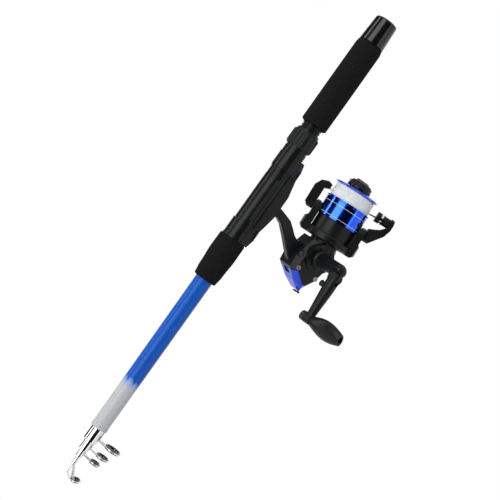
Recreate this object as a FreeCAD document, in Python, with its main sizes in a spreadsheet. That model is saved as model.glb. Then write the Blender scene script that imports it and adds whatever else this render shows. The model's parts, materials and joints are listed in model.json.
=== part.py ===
"""Telescopic fishing rod with a spinning reel, as a parametric document.

Frame in millimetres: the origin is the centre of the butt's end face, +X points out of the butt, so the
closed rod lies along -X with its tip furthest away. +Z is up, the reel hangs under the rod, and the crank
is on the -Y side. Stations are distances from the butt's end face toward the tip.
"""

import FreeCAD, Part
import math
import os
import re

import Sketcher
from FreeCAD import Placement, Rotation, Vector

SIZES = {
    # Butt cap, its pad and the rear grip
    "cap_length": 25.3,
    "cap_end_radius": 10.95,
    "cap_grip_radius": 12.15,
    "cap_edge": 1.6,
    "cap_plug_length": 14.7,
    "pad_thickness": 0.7,
    "rear_grip_length": 89.4,
    "rear_grip_radius": 12.9,
    "rear_grip_taper_length": 4.5,
    "glue_gap": 0.02,
    "seam": 0.3,
    # Reel seat
    "nut_stand_off": 7.3,
    "nut_length": 17.5,
    "nut_radius": 12.0,
    "nut_flare": 0.4,
    "nut_rib_count": 16,
    "nut_rib_radius": 1.1,
    "nut_lip_length": 2.2,
    "sleeve_show": 8.9,
    "sleeve_radius": 10.6,
    "sleeve_ridge_radius": 11.2,
    "sleeve_ridge_pitch": 2.1,
    "sleeve_reach": 4.6,
    "sleeve_flange_radius": 11.3,
    "sleeve_flange_length": 1.6,
    "hood_length": 15.5,
    "hood_radius": 11.4,
    "hood_bulge": 15.4,
    "hood_bulge_width": 19.0,
    "fixed_hood_length": 17.8,
    "thread_radius": 9.75,
    "thread_depth": 0.7,
    "thread_pitch": 2.5,
    "thread_clearance": 0.08,
    "barrel_radius": 10.6,
    "barrel_groove_count": 4,
    "barrel_groove_pitch": 2.0,
    "barrel_groove_depth": 0.5,
    "barrel_rib_height": 0.5,
    "barrel_rib_width": 2.2,
    "foot_bite": 5.0,
    "foot_length": 67.6,
    "foot_width": 15.0,
    "foot_end_depth": 13.1,
    "foot_shoulder_depth": 14.2,
    "foot_middle_depth": 18.0,
    "foot_clearance": 0.3,
    "foregrip_length": 44.7,
    "foregrip_rear_radius": 13.2,
    "foregrip_front_radius": 11.15,
    # Telescopic blank
    "blank_show": 164.0,
    "blank_radius": 8.4,
    "mouth_radius": 8.0,
    "mouth_rim": 0.25,
    "mouth_rim_length": 3.0,
    "overlap": 35.0,
    "telescope_gap": 0.03,
    "bore_4_radius": 6.3,
    "tip_4_radius": 5.8,
    "bore_3_radius": 4.3,
    "tip_3_radius": 3.9,
    "bore_2_radius": 2.6,
    "tip_2_radius": 2.3,
    "bore_tip_radius": 1.45,
    "tip_radius": 1.1,
    "ferrule_wall": 0.8,
    "ferrule_4_length": 13.2,
    "ferrule_3_length": 10.0,
    "ferrule_2_length": 7.5,
    "tip_tube_length": 7.1,
    "tip_tube_radius": 2.0,
    # Line guides
    "guide_wire_radius": 0.7,
    "guide_insert_width": 1.5,
    "guide_insert_length": 3.2,
    "guide_4_offset": 24.5,
    "guide_4_radius": 9.0,
    "guide_3_offset": 20.3,
    "guide_3_radius": 7.3,
    "guide_2_offset": 17.2,
    "guide_2_radius": 6.2,
    "tip_ring_offset": 11.2,
    "tip_ring_radius": 5.4,
    "tip_ring_ahead": 12.9,
    "tip_ring_tilt": 18.7,
    # Reel placement and case
    "reel_drop": 81.0,
    "reel_behind_foot": 15.6,
    "reel_tilt": 3.0,
    "case_wall": 1.7,
    "case_half_width": 17.0,
    "case_rear": 35.5,
    "case_front": 12.9,
    "case_depth": 13.6,
    "case_top": 25.0,
    "case_inset": 3.2,
    "cover_seat": 13.0,
    "collar_radius": 14.0,
    "collar_front": 15.3,
    "stem_width": 9.0,
    "cover_wall": 1.7,
    "cover_reach": 17.0,
    "boss_radius": 14.0,
    "boss_height": 2.6,
    "boss_hole_count": 10,
    "boss_hole_radius": 0.8,
    "screw_radius": 2.3,
    "screw_head": 1.2,
    # Gear train
    "axle_radius": 3.0,
    "axle_rise": 5.0,
    "running_gap": 0.05,
    "bushing_wall": 2.0,
    "bushing_length": 3.0,
    "pinion_teeth": 8,
    "pinion_pitch_radius": 2.45,
    "pinion_tip_radius": 2.95,
    "pinion_root_radius": 1.95,
    "pinion_sleeve_radius": 2.9,
    "pinion_front": 41.8,
    "drive_teeth": 32,
    "drive_ridge_inner": 10.2,
    "drive_ridge_outer": 12.2,
    "drive_disc_radius": 12.5,
    "drive_disc_thickness": 1.9,
    "shaft_radius": 1.25,
    "shaft_rear": 12.0,
    "shaft_front": 78.0,
    "crosswind_module": 0.8,
    "crosswind_teeth": 24,
    "axle_gear_teeth": 12,
    "crosswind_back": 14.2,
    "crosswind_width": 3.0,
    "crosswind_start": 5.0,
    "traverse_radius": 5.5,
    "traverse_pin_radius": 1.2,
    "block_length": 6.0,
    "bearing_radius": 5.8,
    "bearing_length": 2.2,
    "ball_count": 8,
    "ratchet_radius": 4.9,
    "ratchet_length": 2.0,
    "ratchet_teeth": 12,
    "lever_side": 7.0,
    "lever_shaft_radius": 1.0,
    # Rotor and bail
    "rotor_turn": 28.0,
    "rotor_back": 15.6,
    "rotor_disc_front": 23.0,
    "rotor_radius": 25.0,
    "cup_radius": 19.8,
    "cup_inner_radius": 18.1,
    "cup_front": 38.0,
    "cup_wall": 1.5,
    "rotor_hub_radius": 5.0,
    "arm_inner_radius": 23.5,
    "arm_outer_radius": 29.6,
    "arm_lug_radius": 27.2,
    "arm_half_width": 11.5,
    "arm_front": 46.5,
    "arm_shoulder": 28.0,
    "rotor_nut_length": 3.5,
    "rotor_nut_radius": 5.6,
    "pivot_reach": 42.0,
    "pivot_radius": 1.8,
    "pivot_gap": 0.3,
    "bail_reach": 20.0,
    "bail_height": 38.6,
    "bail_half_span": 28.0,
    "bail_leg": 14.0,
    "bail_wire_radius": 0.95,
    "roller_inner": 31.0,
    "roller_outer": 34.6,
    "roller_radius": 5.2,
    "roller_boss_radius": 4.6,
    "roller_boss_length": 7.0,
    "roller_pin_radius": 1.5,
    # Spool
    "skirt_rear": 36.8,
    "skirt_radius": 21.8,
    "skirt_wall": 1.5,
    "web_rear": 55.1,
    "web_thickness": 1.5,
    "spool_core_radius": 9.5,
    "lip_rear": 69.8,
    "lip_front": 72.2,
    "lip_radius": 22.6,
    "winding_radius": 20.5,
    "chamber_radius": 8.2,
    "chamber_rear": 64.0,
    "washer_stack": 3.0,
    "knob_rear": 72.9,
    "knob_front": 81.3,
    "knob_radius": 12.0,
    "knob_rib_count": 12,
    # Crank
    "shank_radius": 6.75,
    "shank_start": 20.8,
    "elbow_out": 57.0,
    "crank_lean": 22.0,
    "fold_back": 7.0,
    "tongue_radius": 5.6,
    "tongue_thickness": 4.4,
    "prong_gap": 0.15,
    "arm_thickness": 9.6,
    "arm_root_width": 12.4,
    "arm_end_width": 8.0,
    "crank_length": 50.0,
    "fold_pin_radius": 1.5,
    "spindle_radius": 1.6,
    "spindle_head_radius": 4.6,
    "spindle_head_length": 4.0,
    "handle_length": 36.0,
    "handle_width": 18.5,
    "handle_thickness": 10.8,
    "handle_gap": 0.6,
    "handle_turn": 25.0,
    "cap_screw_radius": 6.2,
}

os.makedirs("parts", exist_ok=True)
document = FreeCAD.newDocument("FishingRodAndReel")
sheet = document.addObject("Spreadsheet::Sheet", "Sizes")
for row, (alias, value) in enumerate(SIZES.items(), start=1):
    sheet.set(f"A{row}", alias)
    sheet.set(f"B{row}", str(value))
    sheet.setAlias(f"B{row}", alias)
document.recompute()

NODES = []
ALONG_X = Rotation(Vector(0, 1, 0), 90)
TOWARD_TIP = Rotation(Vector(0, 1, 0), -90)


def bound(text):
    """The expression with every size's alias pointed at the sheet."""
    return re.sub(r"[a-z][a-z_0-9]*", lambda m: "Sizes." + m[0] if m[0] in SIZES else m[0], f"({text})")


def size(text):
    """The value of an expression in the sheet's sizes."""
    value = sheet.evalExpression(bound(text))
    return float(getattr(value, "Value", value))


def keep(thing, label):
    """Marks an object as the sub-part that is exported under this label."""
    thing.Label = label
    NODES.append(thing)
    return thing


def place(thing, x="0", y="0", z="0"):
    """Binds an object's position to the sheet."""
    for axis, text in (("x", x), ("y", y), ("z", z)):
        if text != "0":
            thing.setExpression(f"Placement.Base.{axis}", bound(text))
    return thing


def turned(label, outline, start=None, frame=None):
    """A body of revolution about its X axis, from a closed outline of (along, radius) expressions.

    With start, the outline runs toward the tip from that station; with frame, it stands in that frame.
    """
    body = document.addObject("PartDesign::Body", "Body_" + label)
    sketch = body.newObject("Sketcher::SketchObject", "Outline_" + label)
    plane = [f for f in body.Origin.OriginFeatures if f.Role == "XZ_Plane"][0]
    sketch.AttachmentSupport = [(plane, "")]
    sketch.MapMode = "FlatFace"
    sign = "-1*" if start is not None else "1*"
    texts = [(f"{sign}({a})", r) for a, r in outline]
    values = [(size(a), size(r)) for a, r in texts]
    count = len(values)
    for i, (a, r) in enumerate(values):
        b, q = values[(i + 1) % count]
        sketch.addGeometry(Part.LineSegment(Vector(a, r, 0), Vector(b, q, 0)), False)
    for i in range(count):
        sketch.addConstraint(Sketcher.Constraint("Coincident", i, 2, (i + 1) % count, 1))
    for i, (a, r) in enumerate(values):
        for kind, text, value, axis in (("DistanceX", texts[i][0], a, -2), ("DistanceY", texts[i][1], r, -1)):
            if abs(value) < 1e-9:
                sketch.addConstraint(Sketcher.Constraint("PointOnObject", i, 1, axis))
            else:
                at = sketch.addConstraint(Sketcher.Constraint(kind, -1, 1, i, 1, value))
                sketch.setExpression(f"Constraints[{at}]", bound(text))
    spin = body.newObject("PartDesign::Revolution", "Turn_" + label)
    spin.Profile = sketch
    spin.ReferenceAxis = (sketch, ["H_Axis"])
    spin.Angle = 360
    if start is not None:
        place(body, x=f"-({start})")
    if frame is not None:
        body.Placement = frame
    return keep(body, label)


def made(label, shape, frame=None):
    """A sub-part whose shape is worked out from the sheet by the functions below."""
    thing = document.addObject("Part::Feature", "Made_" + label)
    if shape.ShapeType == "Compound" and len(shape.Solids) == 1:
        shape = shape.Solids[0]
    thing.Shape = shape
    thing.Placement = (frame or Placement()) * shape.Placement
    return keep(thing, label)


def cylinder(radius, start, end, axis="x", at=(0.0, 0.0)):
    """A cylinder along an axis from start to end, at the two other coordinates."""
    low, high = min(start, end), max(start, end)
    base = {"x": Vector(low, *at), "y": Vector(at[0], low, at[1]), "z": Vector(*at, low)}[axis]
    way = {"x": Vector(1, 0, 0), "y": Vector(0, 1, 0), "z": Vector(0, 0, 1)}[axis]
    return Part.makeCylinder(radius, high - low, base, way)


def block(low, high):
    """A box between two corners."""
    return Part.makeBox(high[0] - low[0], high[1] - low[1], high[2] - low[2], Vector(*low))


def slab(points, start, end, across="y"):
    """A flat outline pushed from start to end: (x, z) across y, (y, z) across x or (x, y) across z."""
    make = {
        "y": lambda p: Vector(p[0], start, p[1]),
        "x": lambda p: Vector(start, p[0], p[1]),
        "z": lambda p: Vector(p[0], p[1], start),
    }[across]
    way = {"x": Vector(end - start, 0, 0), "y": Vector(0, end - start, 0), "z": Vector(0, 0, end - start)}[across]
    corners = [make(p) for p in points]
    return Part.Face(Part.makePolygon(corners + corners[:1])).extrude(way)


def lathe(points):
    """A solid of revolution about X from a closed outline of (x, radius) values."""
    corners = [Vector(x, 0, r) for x, r in points]
    return Part.Face(Part.makePolygon(corners + corners[:1])).revolve(Vector(), Vector(1, 0, 0), 360)


def wire_run(points, radius):
    """A round wire through straight runs, with a ball at each bend."""
    pieces = []
    for a, b in zip(points, points[1:]):
        a, b = Vector(*a), Vector(*b)
        pieces.append(Part.makeCylinder(radius, a.distanceToPoint(b), a, b - a))
    balls = [Part.makeSphere(radius, Vector(*p)) for p in points]
    return pieces[0].multiFuse(pieces[1:] + balls)


def softened(shape, radius, pick):
    """The shape with the edges that pick chooses rounded."""
    return shape.makeFillet(radius, [e for e in shape.Edges if pick(e)])


# Stations along the rod, from the butt's end face
T_CAP = "cap_length"
T_PAD = "cap_length + cap_plug_length"
T_STOP = f"{T_PAD} + pad_thickness + seam"
T_GRIP = "cap_length + rear_grip_length"
T_NUT = f"{T_GRIP} + nut_stand_off"
T_NUT_END = f"{T_NUT} + nut_length"
T_HOOD = f"{T_NUT_END} + sleeve_show"
T_HOOD_END = f"{T_HOOD} + hood_length"
T_FOOT = f"{T_HOOD_END} - foot_bite"
T_FOOT_END = f"{T_FOOT} + foot_length"
T_FIXED = f"{T_FOOT_END} - foot_bite"
T_FIXED_END = f"{T_FIXED} + fixed_hood_length"
T_FOREGRIP_END = f"{T_FIXED_END} + foregrip_length"
T_MOUTH = f"{T_FOREGRIP_END} + blank_show"
T_4 = f"{T_MOUTH} + seam + ferrule_4_length"
T_3 = f"{T_4} + seam + ferrule_3_length"
T_2 = f"{T_3} + seam + ferrule_2_length"
T_TIP = f"{T_2} + seam + tip_tube_length"


def taper(bore, tip, end):
    """Radius gained per millimetre so that a section ending at this station locks in its parent's bore."""
    return f"(({bore} - telescope_gap - {tip}) / ({end} - ({T_STOP}) - overlap))"


TAPER_4 = taper("bore_4_radius", "tip_4_radius", T_4)
TAPER_3 = taper("bore_3_radius", "tip_3_radius", T_3)
TAPER_2 = taper("bore_2_radius", "tip_2_radius", T_2)
TAPER_TIP = taper("bore_tip_radius", "tip_radius", T_TIP)
TUBE_START = f"{T_CAP} + seam"
BUTT_BORE = f"bore_4_radius + {TAPER_4} * ({T_MOUTH} - ({TUBE_START}))"
CORE = "blank_radius + glue_gap"

# Butt cap, pad and rear grip
turned(
    "butt_cap",
    [
        ("0", "0"),
        ("0", "cap_end_radius - cap_edge"),
        ("cap_edge * 0.3", "cap_end_radius - cap_edge * 0.3"),
        ("cap_edge", "cap_end_radius"),
        (T_CAP, "cap_grip_radius"),
        (T_CAP, f"{BUTT_BORE} - 0.1"),
        (T_PAD, f"{BUTT_BORE} - 0.1"),
        (T_PAD, "0"),
    ],
    start="0",
)
turned(
    "cap_pad",
    [("0", "0"), ("0", f"{BUTT_BORE} - 0.5"), ("pad_thickness", f"{BUTT_BORE} - 0.5"), ("pad_thickness", "0")],
    start=T_PAD,
)
turned(
    "rear_grip",
    [
        ("0", CORE),
        ("0", "cap_grip_radius"),
        ("rear_grip_taper_length", "rear_grip_radius"),
        ("rear_grip_length - 0.8", "rear_grip_radius"),
        ("rear_grip_length", "rear_grip_radius - 0.8"),
        ("rear_grip_length", CORE),
    ],
    start=T_CAP,
)

# Outer tube of the blank
turned(
    "butt_tube",
    [
        ("0", BUTT_BORE),
        ("0", "blank_radius"),
        (f"{T_FOREGRIP_END} - ({TUBE_START})", "blank_radius"),
        (f"{T_MOUTH} - mouth_rim_length - ({TUBE_START})", "mouth_radius"),
        (f"{T_MOUTH} - mouth_rim_length - ({TUBE_START})", "mouth_radius + mouth_rim"),
        (f"{T_MOUTH} - ({TUBE_START})", "mouth_radius + mouth_rim"),
        (f"{T_MOUTH} - ({TUBE_START})", "bore_4_radius"),
    ],
    start=TUBE_START,
)


def hood(length, mouth_toward_tip):
    """A hood over the barrel's neck with a pocket for the foot, standing from x = 0 toward the tip."""
    bulge = sheet.hood_bulge
    half = sheet.hood_bulge_width / 2
    outside = cylinder(sheet.hood_radius, -length, 0)
    keel = slab(
        [(-half, 0), (-half, -bulge * 0.62), (-half * 0.55, -bulge), (half * 0.55, -bulge), (half, -bulge * 0.62), (half, 0)],
        0,
        -length,
        "x",
    )
    closed = 0 if mouth_toward_tip else -length
    step = -1 if mouth_toward_tip else 1
    slope = slab(
        [
            (closed - step * 1.0, -sheet.hood_radius),
            (closed + step * length * 0.55, -bulge - 0.5),
            (closed - step * 1.0, -bulge - 0.5),
        ],
        -half - 1,
        half + 1,
    )
    solid = outside.fuse(keel).cut(slope)
    reach = sheet.foot_bite + sheet.foot_clearance
    gap = sheet.foot_clearance
    wide = sheet.foot_width / 2 + gap
    mouth = -length if mouth_toward_tip else 0
    pocket = block(
        (min(mouth - step * -reach, mouth + step), -wide, -sheet.foot_shoulder_depth + 0.1),
        (max(mouth - step * -reach, mouth + step), wide, 0),
    )
    if mouth_toward_tip:
        pocket = block((mouth - 1, -wide, -sheet.foot_shoulder_depth - 0.05), (mouth + reach, wide, 0))
    else:
        pocket = block((mouth - reach, -wide, -sheet.foot_shoulder_depth - 0.05), (mouth + 1, wide, 0))
    return solid.cut(pocket)


def seat_barrel():
    """The barrel: a threaded neck, the main barrel with side ribs and the neck in the fixed hood."""
    start, end = size(T_GRIP), size(T_FIXED_END)
    shoulder = size(T_HOOD_END) + sheet.seam
    far = size(T_FIXED) - sheet.seam
    pitch, major = sheet.thread_pitch, sheet.thread_radius
    minor = major - sheet.thread_depth
    outline = [(-start, size(CORE)), (-start, minor)]
    at = start + 0.5
    while at + pitch < shoulder - 0.5:
        outline += [
            (-at, minor),
            (-at - pitch * 0.3, major),
            (-at - pitch * 0.5, major),
            (-at - pitch * 0.8, minor),
        ]
        at += pitch
    outline += [
        (-shoulder, minor),
        (-shoulder, sheet.barrel_radius),
    ]
    groove = sheet.barrel_radius - sheet.barrel_groove_depth
    for i in range(int(sheet.barrel_groove_count)):
        at = shoulder + 1.4 + sheet.barrel_groove_pitch * i
        outline += [(-at, sheet.barrel_radius), (-at - 0.2, groove), (-at - 0.8, groove), (-at - 1.0, sheet.barrel_radius)]
    outline += [
        (-far, sheet.barrel_radius),
        (-far, major),
        (-end, major),
        (-end, size(CORE)),
    ]
    solid = lathe(outline)
    reach = sheet.barrel_radius + sheet.barrel_rib_height
    width = sheet.barrel_rib_width
    for side in (-1, 1):
        for level in (-1, 1):
            bar = block((-far + 4, side * reach - (1.6 if side > 0 else 0), level * width * 1.1 - width / 2),
                        (-shoulder - 10, side * reach + (0 if side > 0 else 1.6), level * width * 1.1 + width / 2))
            solid = solid.fuse(bar)
    return solid.removeSplitter()


def slide_hood():
    """The sliding hood and its ridged sleeve, which the nut carries along."""
    x = -size(T_HOOD)
    bore = sheet.thread_radius + sheet.thread_clearance
    solid = hood(sheet.hood_length, True)
    tail = sheet.sleeve_show + sheet.sleeve_reach
    solid = solid.fuse(cylinder(sheet.sleeve_radius, -0.5, tail))
    flange = sheet.sleeve_flange_length
    solid = solid.fuse(cylinder(sheet.sleeve_flange_radius, tail - flange, tail))
    ridge = sheet.sleeve_ridge_pitch
    at = ridge / 2
    while at + ridge / 2 < sheet.sleeve_show - 0.6:
        solid = solid.fuse(cylinder(sheet.sleeve_ridge_radius, at, at + ridge / 2))
        at += ridge
    solid = solid.cut(cylinder(bore, -sheet.hood_length - 1, tail + 1))
    solid.translate(Vector(x, 0, 0))
    return solid


def lock_nut():
    """The ribbed ring: threaded at the rear, with a chamber that holds the sleeve's flange."""
    length = sheet.nut_length
    outline = [
        (0, sheet.nut_radius - 1.0),
        (-1.6, sheet.nut_radius - 1.0),
        (-1.9, sheet.nut_radius - 0.3),
        (-2.6, sheet.nut_radius),
        (-length + 1.0, sheet.nut_radius + sheet.nut_flare),
        (-length, sheet.nut_radius + sheet.nut_flare - 0.5),
        (-length, 0),
        (0, 0),
    ]
    solid = lathe(outline)
    ribs = []
    for i in range(int(sheet.nut_rib_count)):
        turn = math.radians(360 * i / sheet.nut_rib_count)
        reach = sheet.nut_radius + sheet.nut_flare - 0.55
        ribs.append(
            cylinder(sheet.nut_rib_radius, -length + 1.4, -3.0, at=(reach * math.sin(turn), reach * math.cos(turn)))
        )
    solid = solid.multiFuse(ribs)
    bore = sheet.thread_radius + sheet.thread_clearance
    lip = sheet.nut_lip_length
    chamber = sheet.sleeve_reach - lip + 0.3
    solid = solid.cut(cylinder(bore, -length - 1, 1))
    solid = solid.cut(cylinder(sheet.sleeve_flange_radius + 0.12, -length + lip, -length + lip + chamber))
    solid = solid.cut(cylinder(sheet.sleeve_radius + 0.12, -length - 1, -length + lip + 0.5))
    solid.translate(Vector(-size(T_NUT), 0, 0))
    return solid


def fixed_hood():
    """The hood at the foregrip, with its lip ring."""
    length = sheet.fixed_hood_length
    solid = hood(length, False)
    solid = solid.fuse(cylinder(sheet.hood_radius + 0.5, -length, -length + 1.6))
    solid = solid.cut(cylinder(sheet.thread_radius + sheet.glue_gap, -length - 1, 1))
    solid.translate(Vector(-size(T_FIXED), 0, 0))
    return solid


made("seat_barrel", seat_barrel())
made("slide_hood", slide_hood())
made("lock_nut", lock_nut())
made("fixed_hood", fixed_hood())
turned(
    "foregrip",
    [
        ("0", CORE),
        ("0", "foregrip_rear_radius - 0.8"),
        ("0.8", "foregrip_rear_radius"),
        ("foregrip_length * 0.35", "foregrip_rear_radius + 0.1"),
        ("foregrip_length * 0.75", "(foregrip_rear_radius + foregrip_front_radius) / 2 + 0.2"),
        ("foregrip_length - 1", "foregrip_front_radius"),
        ("foregrip_length", "foregrip_front_radius - 0.9"),
        ("foregrip_length", CORE),
    ],
    start=T_FIXED_END,
)


def section(label, end, tip, lead, bore, bore_lead):
    """A tapered tube of the blank from the pad to its mouth."""
    length = f"({end} - ({T_STOP}))"
    turned(
        label,
        [
            ("0", f"{bore} + {bore_lead} * {length}"),
            ("0", f"{tip} + {lead} * {length}"),
            (length, tip),
            (length, bore),
        ],
        start=T_STOP,
    )


section("section_4", T_4, "tip_4_radius", TAPER_4, "bore_3_radius", TAPER_3)
section("section_3", T_3, "tip_3_radius", TAPER_3, "bore_2_radius", TAPER_2)
section("section_2", T_2, "tip_2_radius", TAPER_2, "bore_tip_radius", TAPER_TIP)
tip_length = f"({T_TIP} - ({T_STOP}))"
turned(
    "tip_section",
    [("0", "0"), ("0", f"tip_radius + {TAPER_TIP} * {tip_length}"), (tip_length, "tip_radius"), (tip_length, "0")],
    start=T_STOP,
)


def ring_of(radius, length):
    """A line guide's insert about X, with a rounded bore, to fit a wire ring of this outer radius."""
    outer = radius - 2 * sheet.guide_wire_radius - sheet.glue_gap
    inner = outer - sheet.guide_insert_width + 0.2
    half = length / 2
    return lathe(
        [(-half, inner + 0.5), (-half, outer), (half, outer), (half, inner + 0.5), (half * 0.5, inner), (-half * 0.5, inner)]
    )


def guide(number, end, length, offset, radius, tip, lead):
    """A ferrule with two wire legs that hold a wire ring under it, and the ring's black insert."""
    wire = sheet.guide_wire_radius
    stop = size(end)
    bore = tip + sheet.glue_gap + lead * length
    tube = cylinder(bore + sheet.ferrule_wall, -stop, -stop + length).cut(
        lathe([(-stop - 1, 0), (-stop - 1, tip + sheet.glue_gap), (-stop, tip + sheet.glue_gap),
               (-stop + length + 0.1, bore), (-stop + length + 0.1, 0)])
    )
    centre = Vector(-stop + 1.6, 0, -offset)
    hoop = Part.makeTorus(radius - wire, wire, centre, Vector(1, 0, 0))
    pieces = [hoop]
    for side in (-1, 1):
        turn = math.radians(38)
        rim = (centre.x, side * (radius - wire) * math.sin(turn), -offset + (radius - wire) * math.cos(turn))
        hold = bore + sheet.ferrule_wall
        foot = (centre.x + 2.4, side * hold * 0.52, -hold * 0.88)
        tail = (-stop + length - 1.2, side * hold * 0.52, -hold * 0.88)
        pieces.append(wire_run([rim, foot, tail], wire))
    made(f"guide_{number}_frame", tube.multiFuse(pieces))
    insert = ring_of(radius, sheet.guide_insert_length)
    insert.translate(centre)
    made(f"guide_{number}_ring", insert)


guide(4, T_4, sheet.ferrule_4_length, sheet.guide_4_offset, sheet.guide_4_radius, sheet.tip_4_radius, size(TAPER_4))
guide(3, T_3, sheet.ferrule_3_length, sheet.guide_3_offset, sheet.guide_3_radius, sheet.tip_3_radius, size(TAPER_3))
guide(2, T_2, sheet.ferrule_2_length, sheet.guide_2_offset, sheet.guide_2_radius, sheet.tip_2_radius, size(TAPER_2))


def tip_top():
    """The tip's tube with its brace and two legs, and the tilted ring's insert."""
    wire = sheet.guide_wire_radius
    stop = size(T_TIP)
    radius = sheet.tip_ring_radius
    tube = lathe([
        (-stop + sheet.tip_tube_length, sheet.tip_radius + sheet.glue_gap + 0.02),
        (-stop + sheet.tip_tube_length, sheet.tip_tube_radius),
        (-stop - 0.5, sheet.tip_tube_radius),
        (-stop - 1.4, sheet.tip_tube_radius - 0.8),
        (-stop - 1.4, 0),
        (-stop - 0.1, 0),
        (-stop - 0.1, sheet.tip_radius + sheet.glue_gap + 0.02),
    ])
    centre = Vector(-stop - sheet.tip_ring_ahead, 0, -sheet.tip_ring_offset)
    tilt = Rotation(Vector(0, 1, 0), -sheet.tip_ring_tilt)
    hoop = Part.makeTorus(radius - wire, wire, Vector(), Vector(1, 0, 0))
    hoop.Placement = Placement(centre, tilt)
    near = centre + tilt.multVec(Vector(0, 0, radius - wire))
    brace = wire_run([(-stop - 0.9, 0, 0), (-stop - 9.5, 0, 0.6), (near.x - 0.2, 0, near.z)], wire)
    pieces = [hoop, brace]
    for side in (-1, 1):
        flank = centre + tilt.multVec(Vector(0, side * (radius - wire) * 0.8, (radius - wire) * 0.6))
        pieces.append(wire_run([(-stop - 0.9, side * 0.8, -0.9), (flank.x, flank.y, flank.z)], wire))
    made("tip_top_frame", tube.multiFuse(pieces))
    made("tip_top_ring", ring_of(radius, sheet.guide_insert_length), Placement(centre, tilt))


tip_top()

# Frames of the reel, of its rotor group and of the folding crank
REEL = Placement(
    Vector(-size(f"{T_FOOT} + foot_length / 2 + reel_behind_foot"), 0, -sheet.reel_drop),
    Rotation(Vector(0, -1, 0), sheet.reel_tilt),
)
ROTOR = REEL * Placement(Vector(), Rotation(Vector(1, 0, 0), -sheet.rotor_turn))
CRANK = REEL * Placement(Vector(0, -sheet.elbow_out, sheet.axle_rise), Rotation(Vector(1, 0, 0), sheet.crank_lean))


def case_form(inset):
    """The gear case's outer form, or its inside when inset, through five cross-sections along X."""
    wide, deep = sheet.case_half_width, sheet.case_depth
    rear, front = -sheet.case_rear + inset, sheet.case_front
    sections = [
        (rear, -1.5, 4.0, 0.0, wide * 0.53, 1.5),
        (-30.0, -deep * 0.33, 5.0, 2.0, wide * 0.77, sheet.case_top * 0.45),
        (-20.0, -deep * 0.8, 5.5, -4.0, wide * 0.96, sheet.case_top * 0.97),
        (-9.0, -deep, 6.0, -6.0, wide, sheet.case_top),
        (front, -deep, 6.0, -6.0, wide * 0.88, sheet.case_top * 0.7),
    ]
    wires = []
    for x, bottom, keel, shoulder, half, top in sections:
        bottom, top = bottom + min(inset, 1.2 - bottom * 0.2), top - min(inset, 1.2 + top * 0.2)
        half, keel, slope = half - inset, keel - inset * 0.5, half * 0.3
        shoulder = max(shoulder, bottom + 0.3)
        cheek = max(top - slope, shoulder + 0.3)
        top = max(top, cheek + 0.3)
        points = [
            (-keel, bottom), (keel, bottom), (half, shoulder), (half, cheek),
            (half - slope, top), (slope - half, top), (-half, cheek), (-half, shoulder),
        ]
        corners = [Vector(x, y, z) for y, z in points]
        wires.append(Part.makePolygon(corners + corners[:1]))
    return Part.makeLoft(wires, True, True)


def rear_zone():
    """The part of the reel's frame that the rear cover wraps."""
    return slab([(-45, -20), (-30, -20), (-28.5, 4), (-19.5, 17), (-23, 22), (-45, 22)], -30, 30)


def foot():
    """The foot under the barrel, in the rod's frame."""
    start, end = -size(T_FOOT), -size(T_FOOT_END)
    middle = (start + end) / 2
    bite = sheet.foot_bite
    ends, shoulder, deep = sheet.foot_end_depth, sheet.foot_shoulder_depth, sheet.foot_middle_depth
    half = sheet.foot_width / 2
    solid = slab(
        [
            (start, -4), (start, -ends), (start - bite - 0.5, -shoulder), (middle + 12, -deep),
            (middle - 10, -deep), (end + bite + 0.5, -shoulder), (end, -ends), (end, -4),
        ],
        -half,
        half,
    )
    plan = slab(
        [
            (start, -half * 0.7), (start - 4, -half), (end + 4, -half), (end, -half * 0.7),
            (end, half * 0.7), (end + 4, half), (start - 4, half), (start, half * 0.7),
        ],
        -30,
        0,
        "z",
    )
    saddle = cylinder(sheet.barrel_radius + sheet.glue_gap, end - 1, start + 1)
    return solid.common(plan).cut(saddle)


def stem():
    """The curved stem from the case to the foot."""
    half = sheet.stem_width / 2
    solid = slab(
        [
            (-20, 14), (-18.6, 22), (-10, 31.5), (-1, 41), (7, 50), (10.8, 57.5), (9, 65.5), (21, 65.5),
            (18.4, 55.5), (15, 44.4), (10.5, 38.2), (6, 32.8), (3.5, 27.6), (5, 17),
        ],
        -half,
        half,
    )
    return softened(solid, 1.6, lambda e: abs(abs(e.CenterOfMass.y) - half) < 0.01 and e.CenterOfMass.z < 63 and e.Length > 3)


def screw_places():
    """Where the side cover's screws stand: (x, z), and how far out their heads are."""
    wide = sheet.case_half_width
    return [(-4.7, 22.6, sheet.cover_seat + 0.9), (-18.0, -3.4, wide - 0.6), (-17.0, 18.6, wide - 0.5)]


def stud():
    """Position of the crosswind gear's stud: (x, z)."""
    apart = sheet.crosswind_module * (sheet.crosswind_teeth + sheet.axle_gear_teeth) / 2
    return -sheet.crosswind_back, sheet.axle_rise - math.sqrt(apart**2 - sheet.crosswind_back**2)


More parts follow.
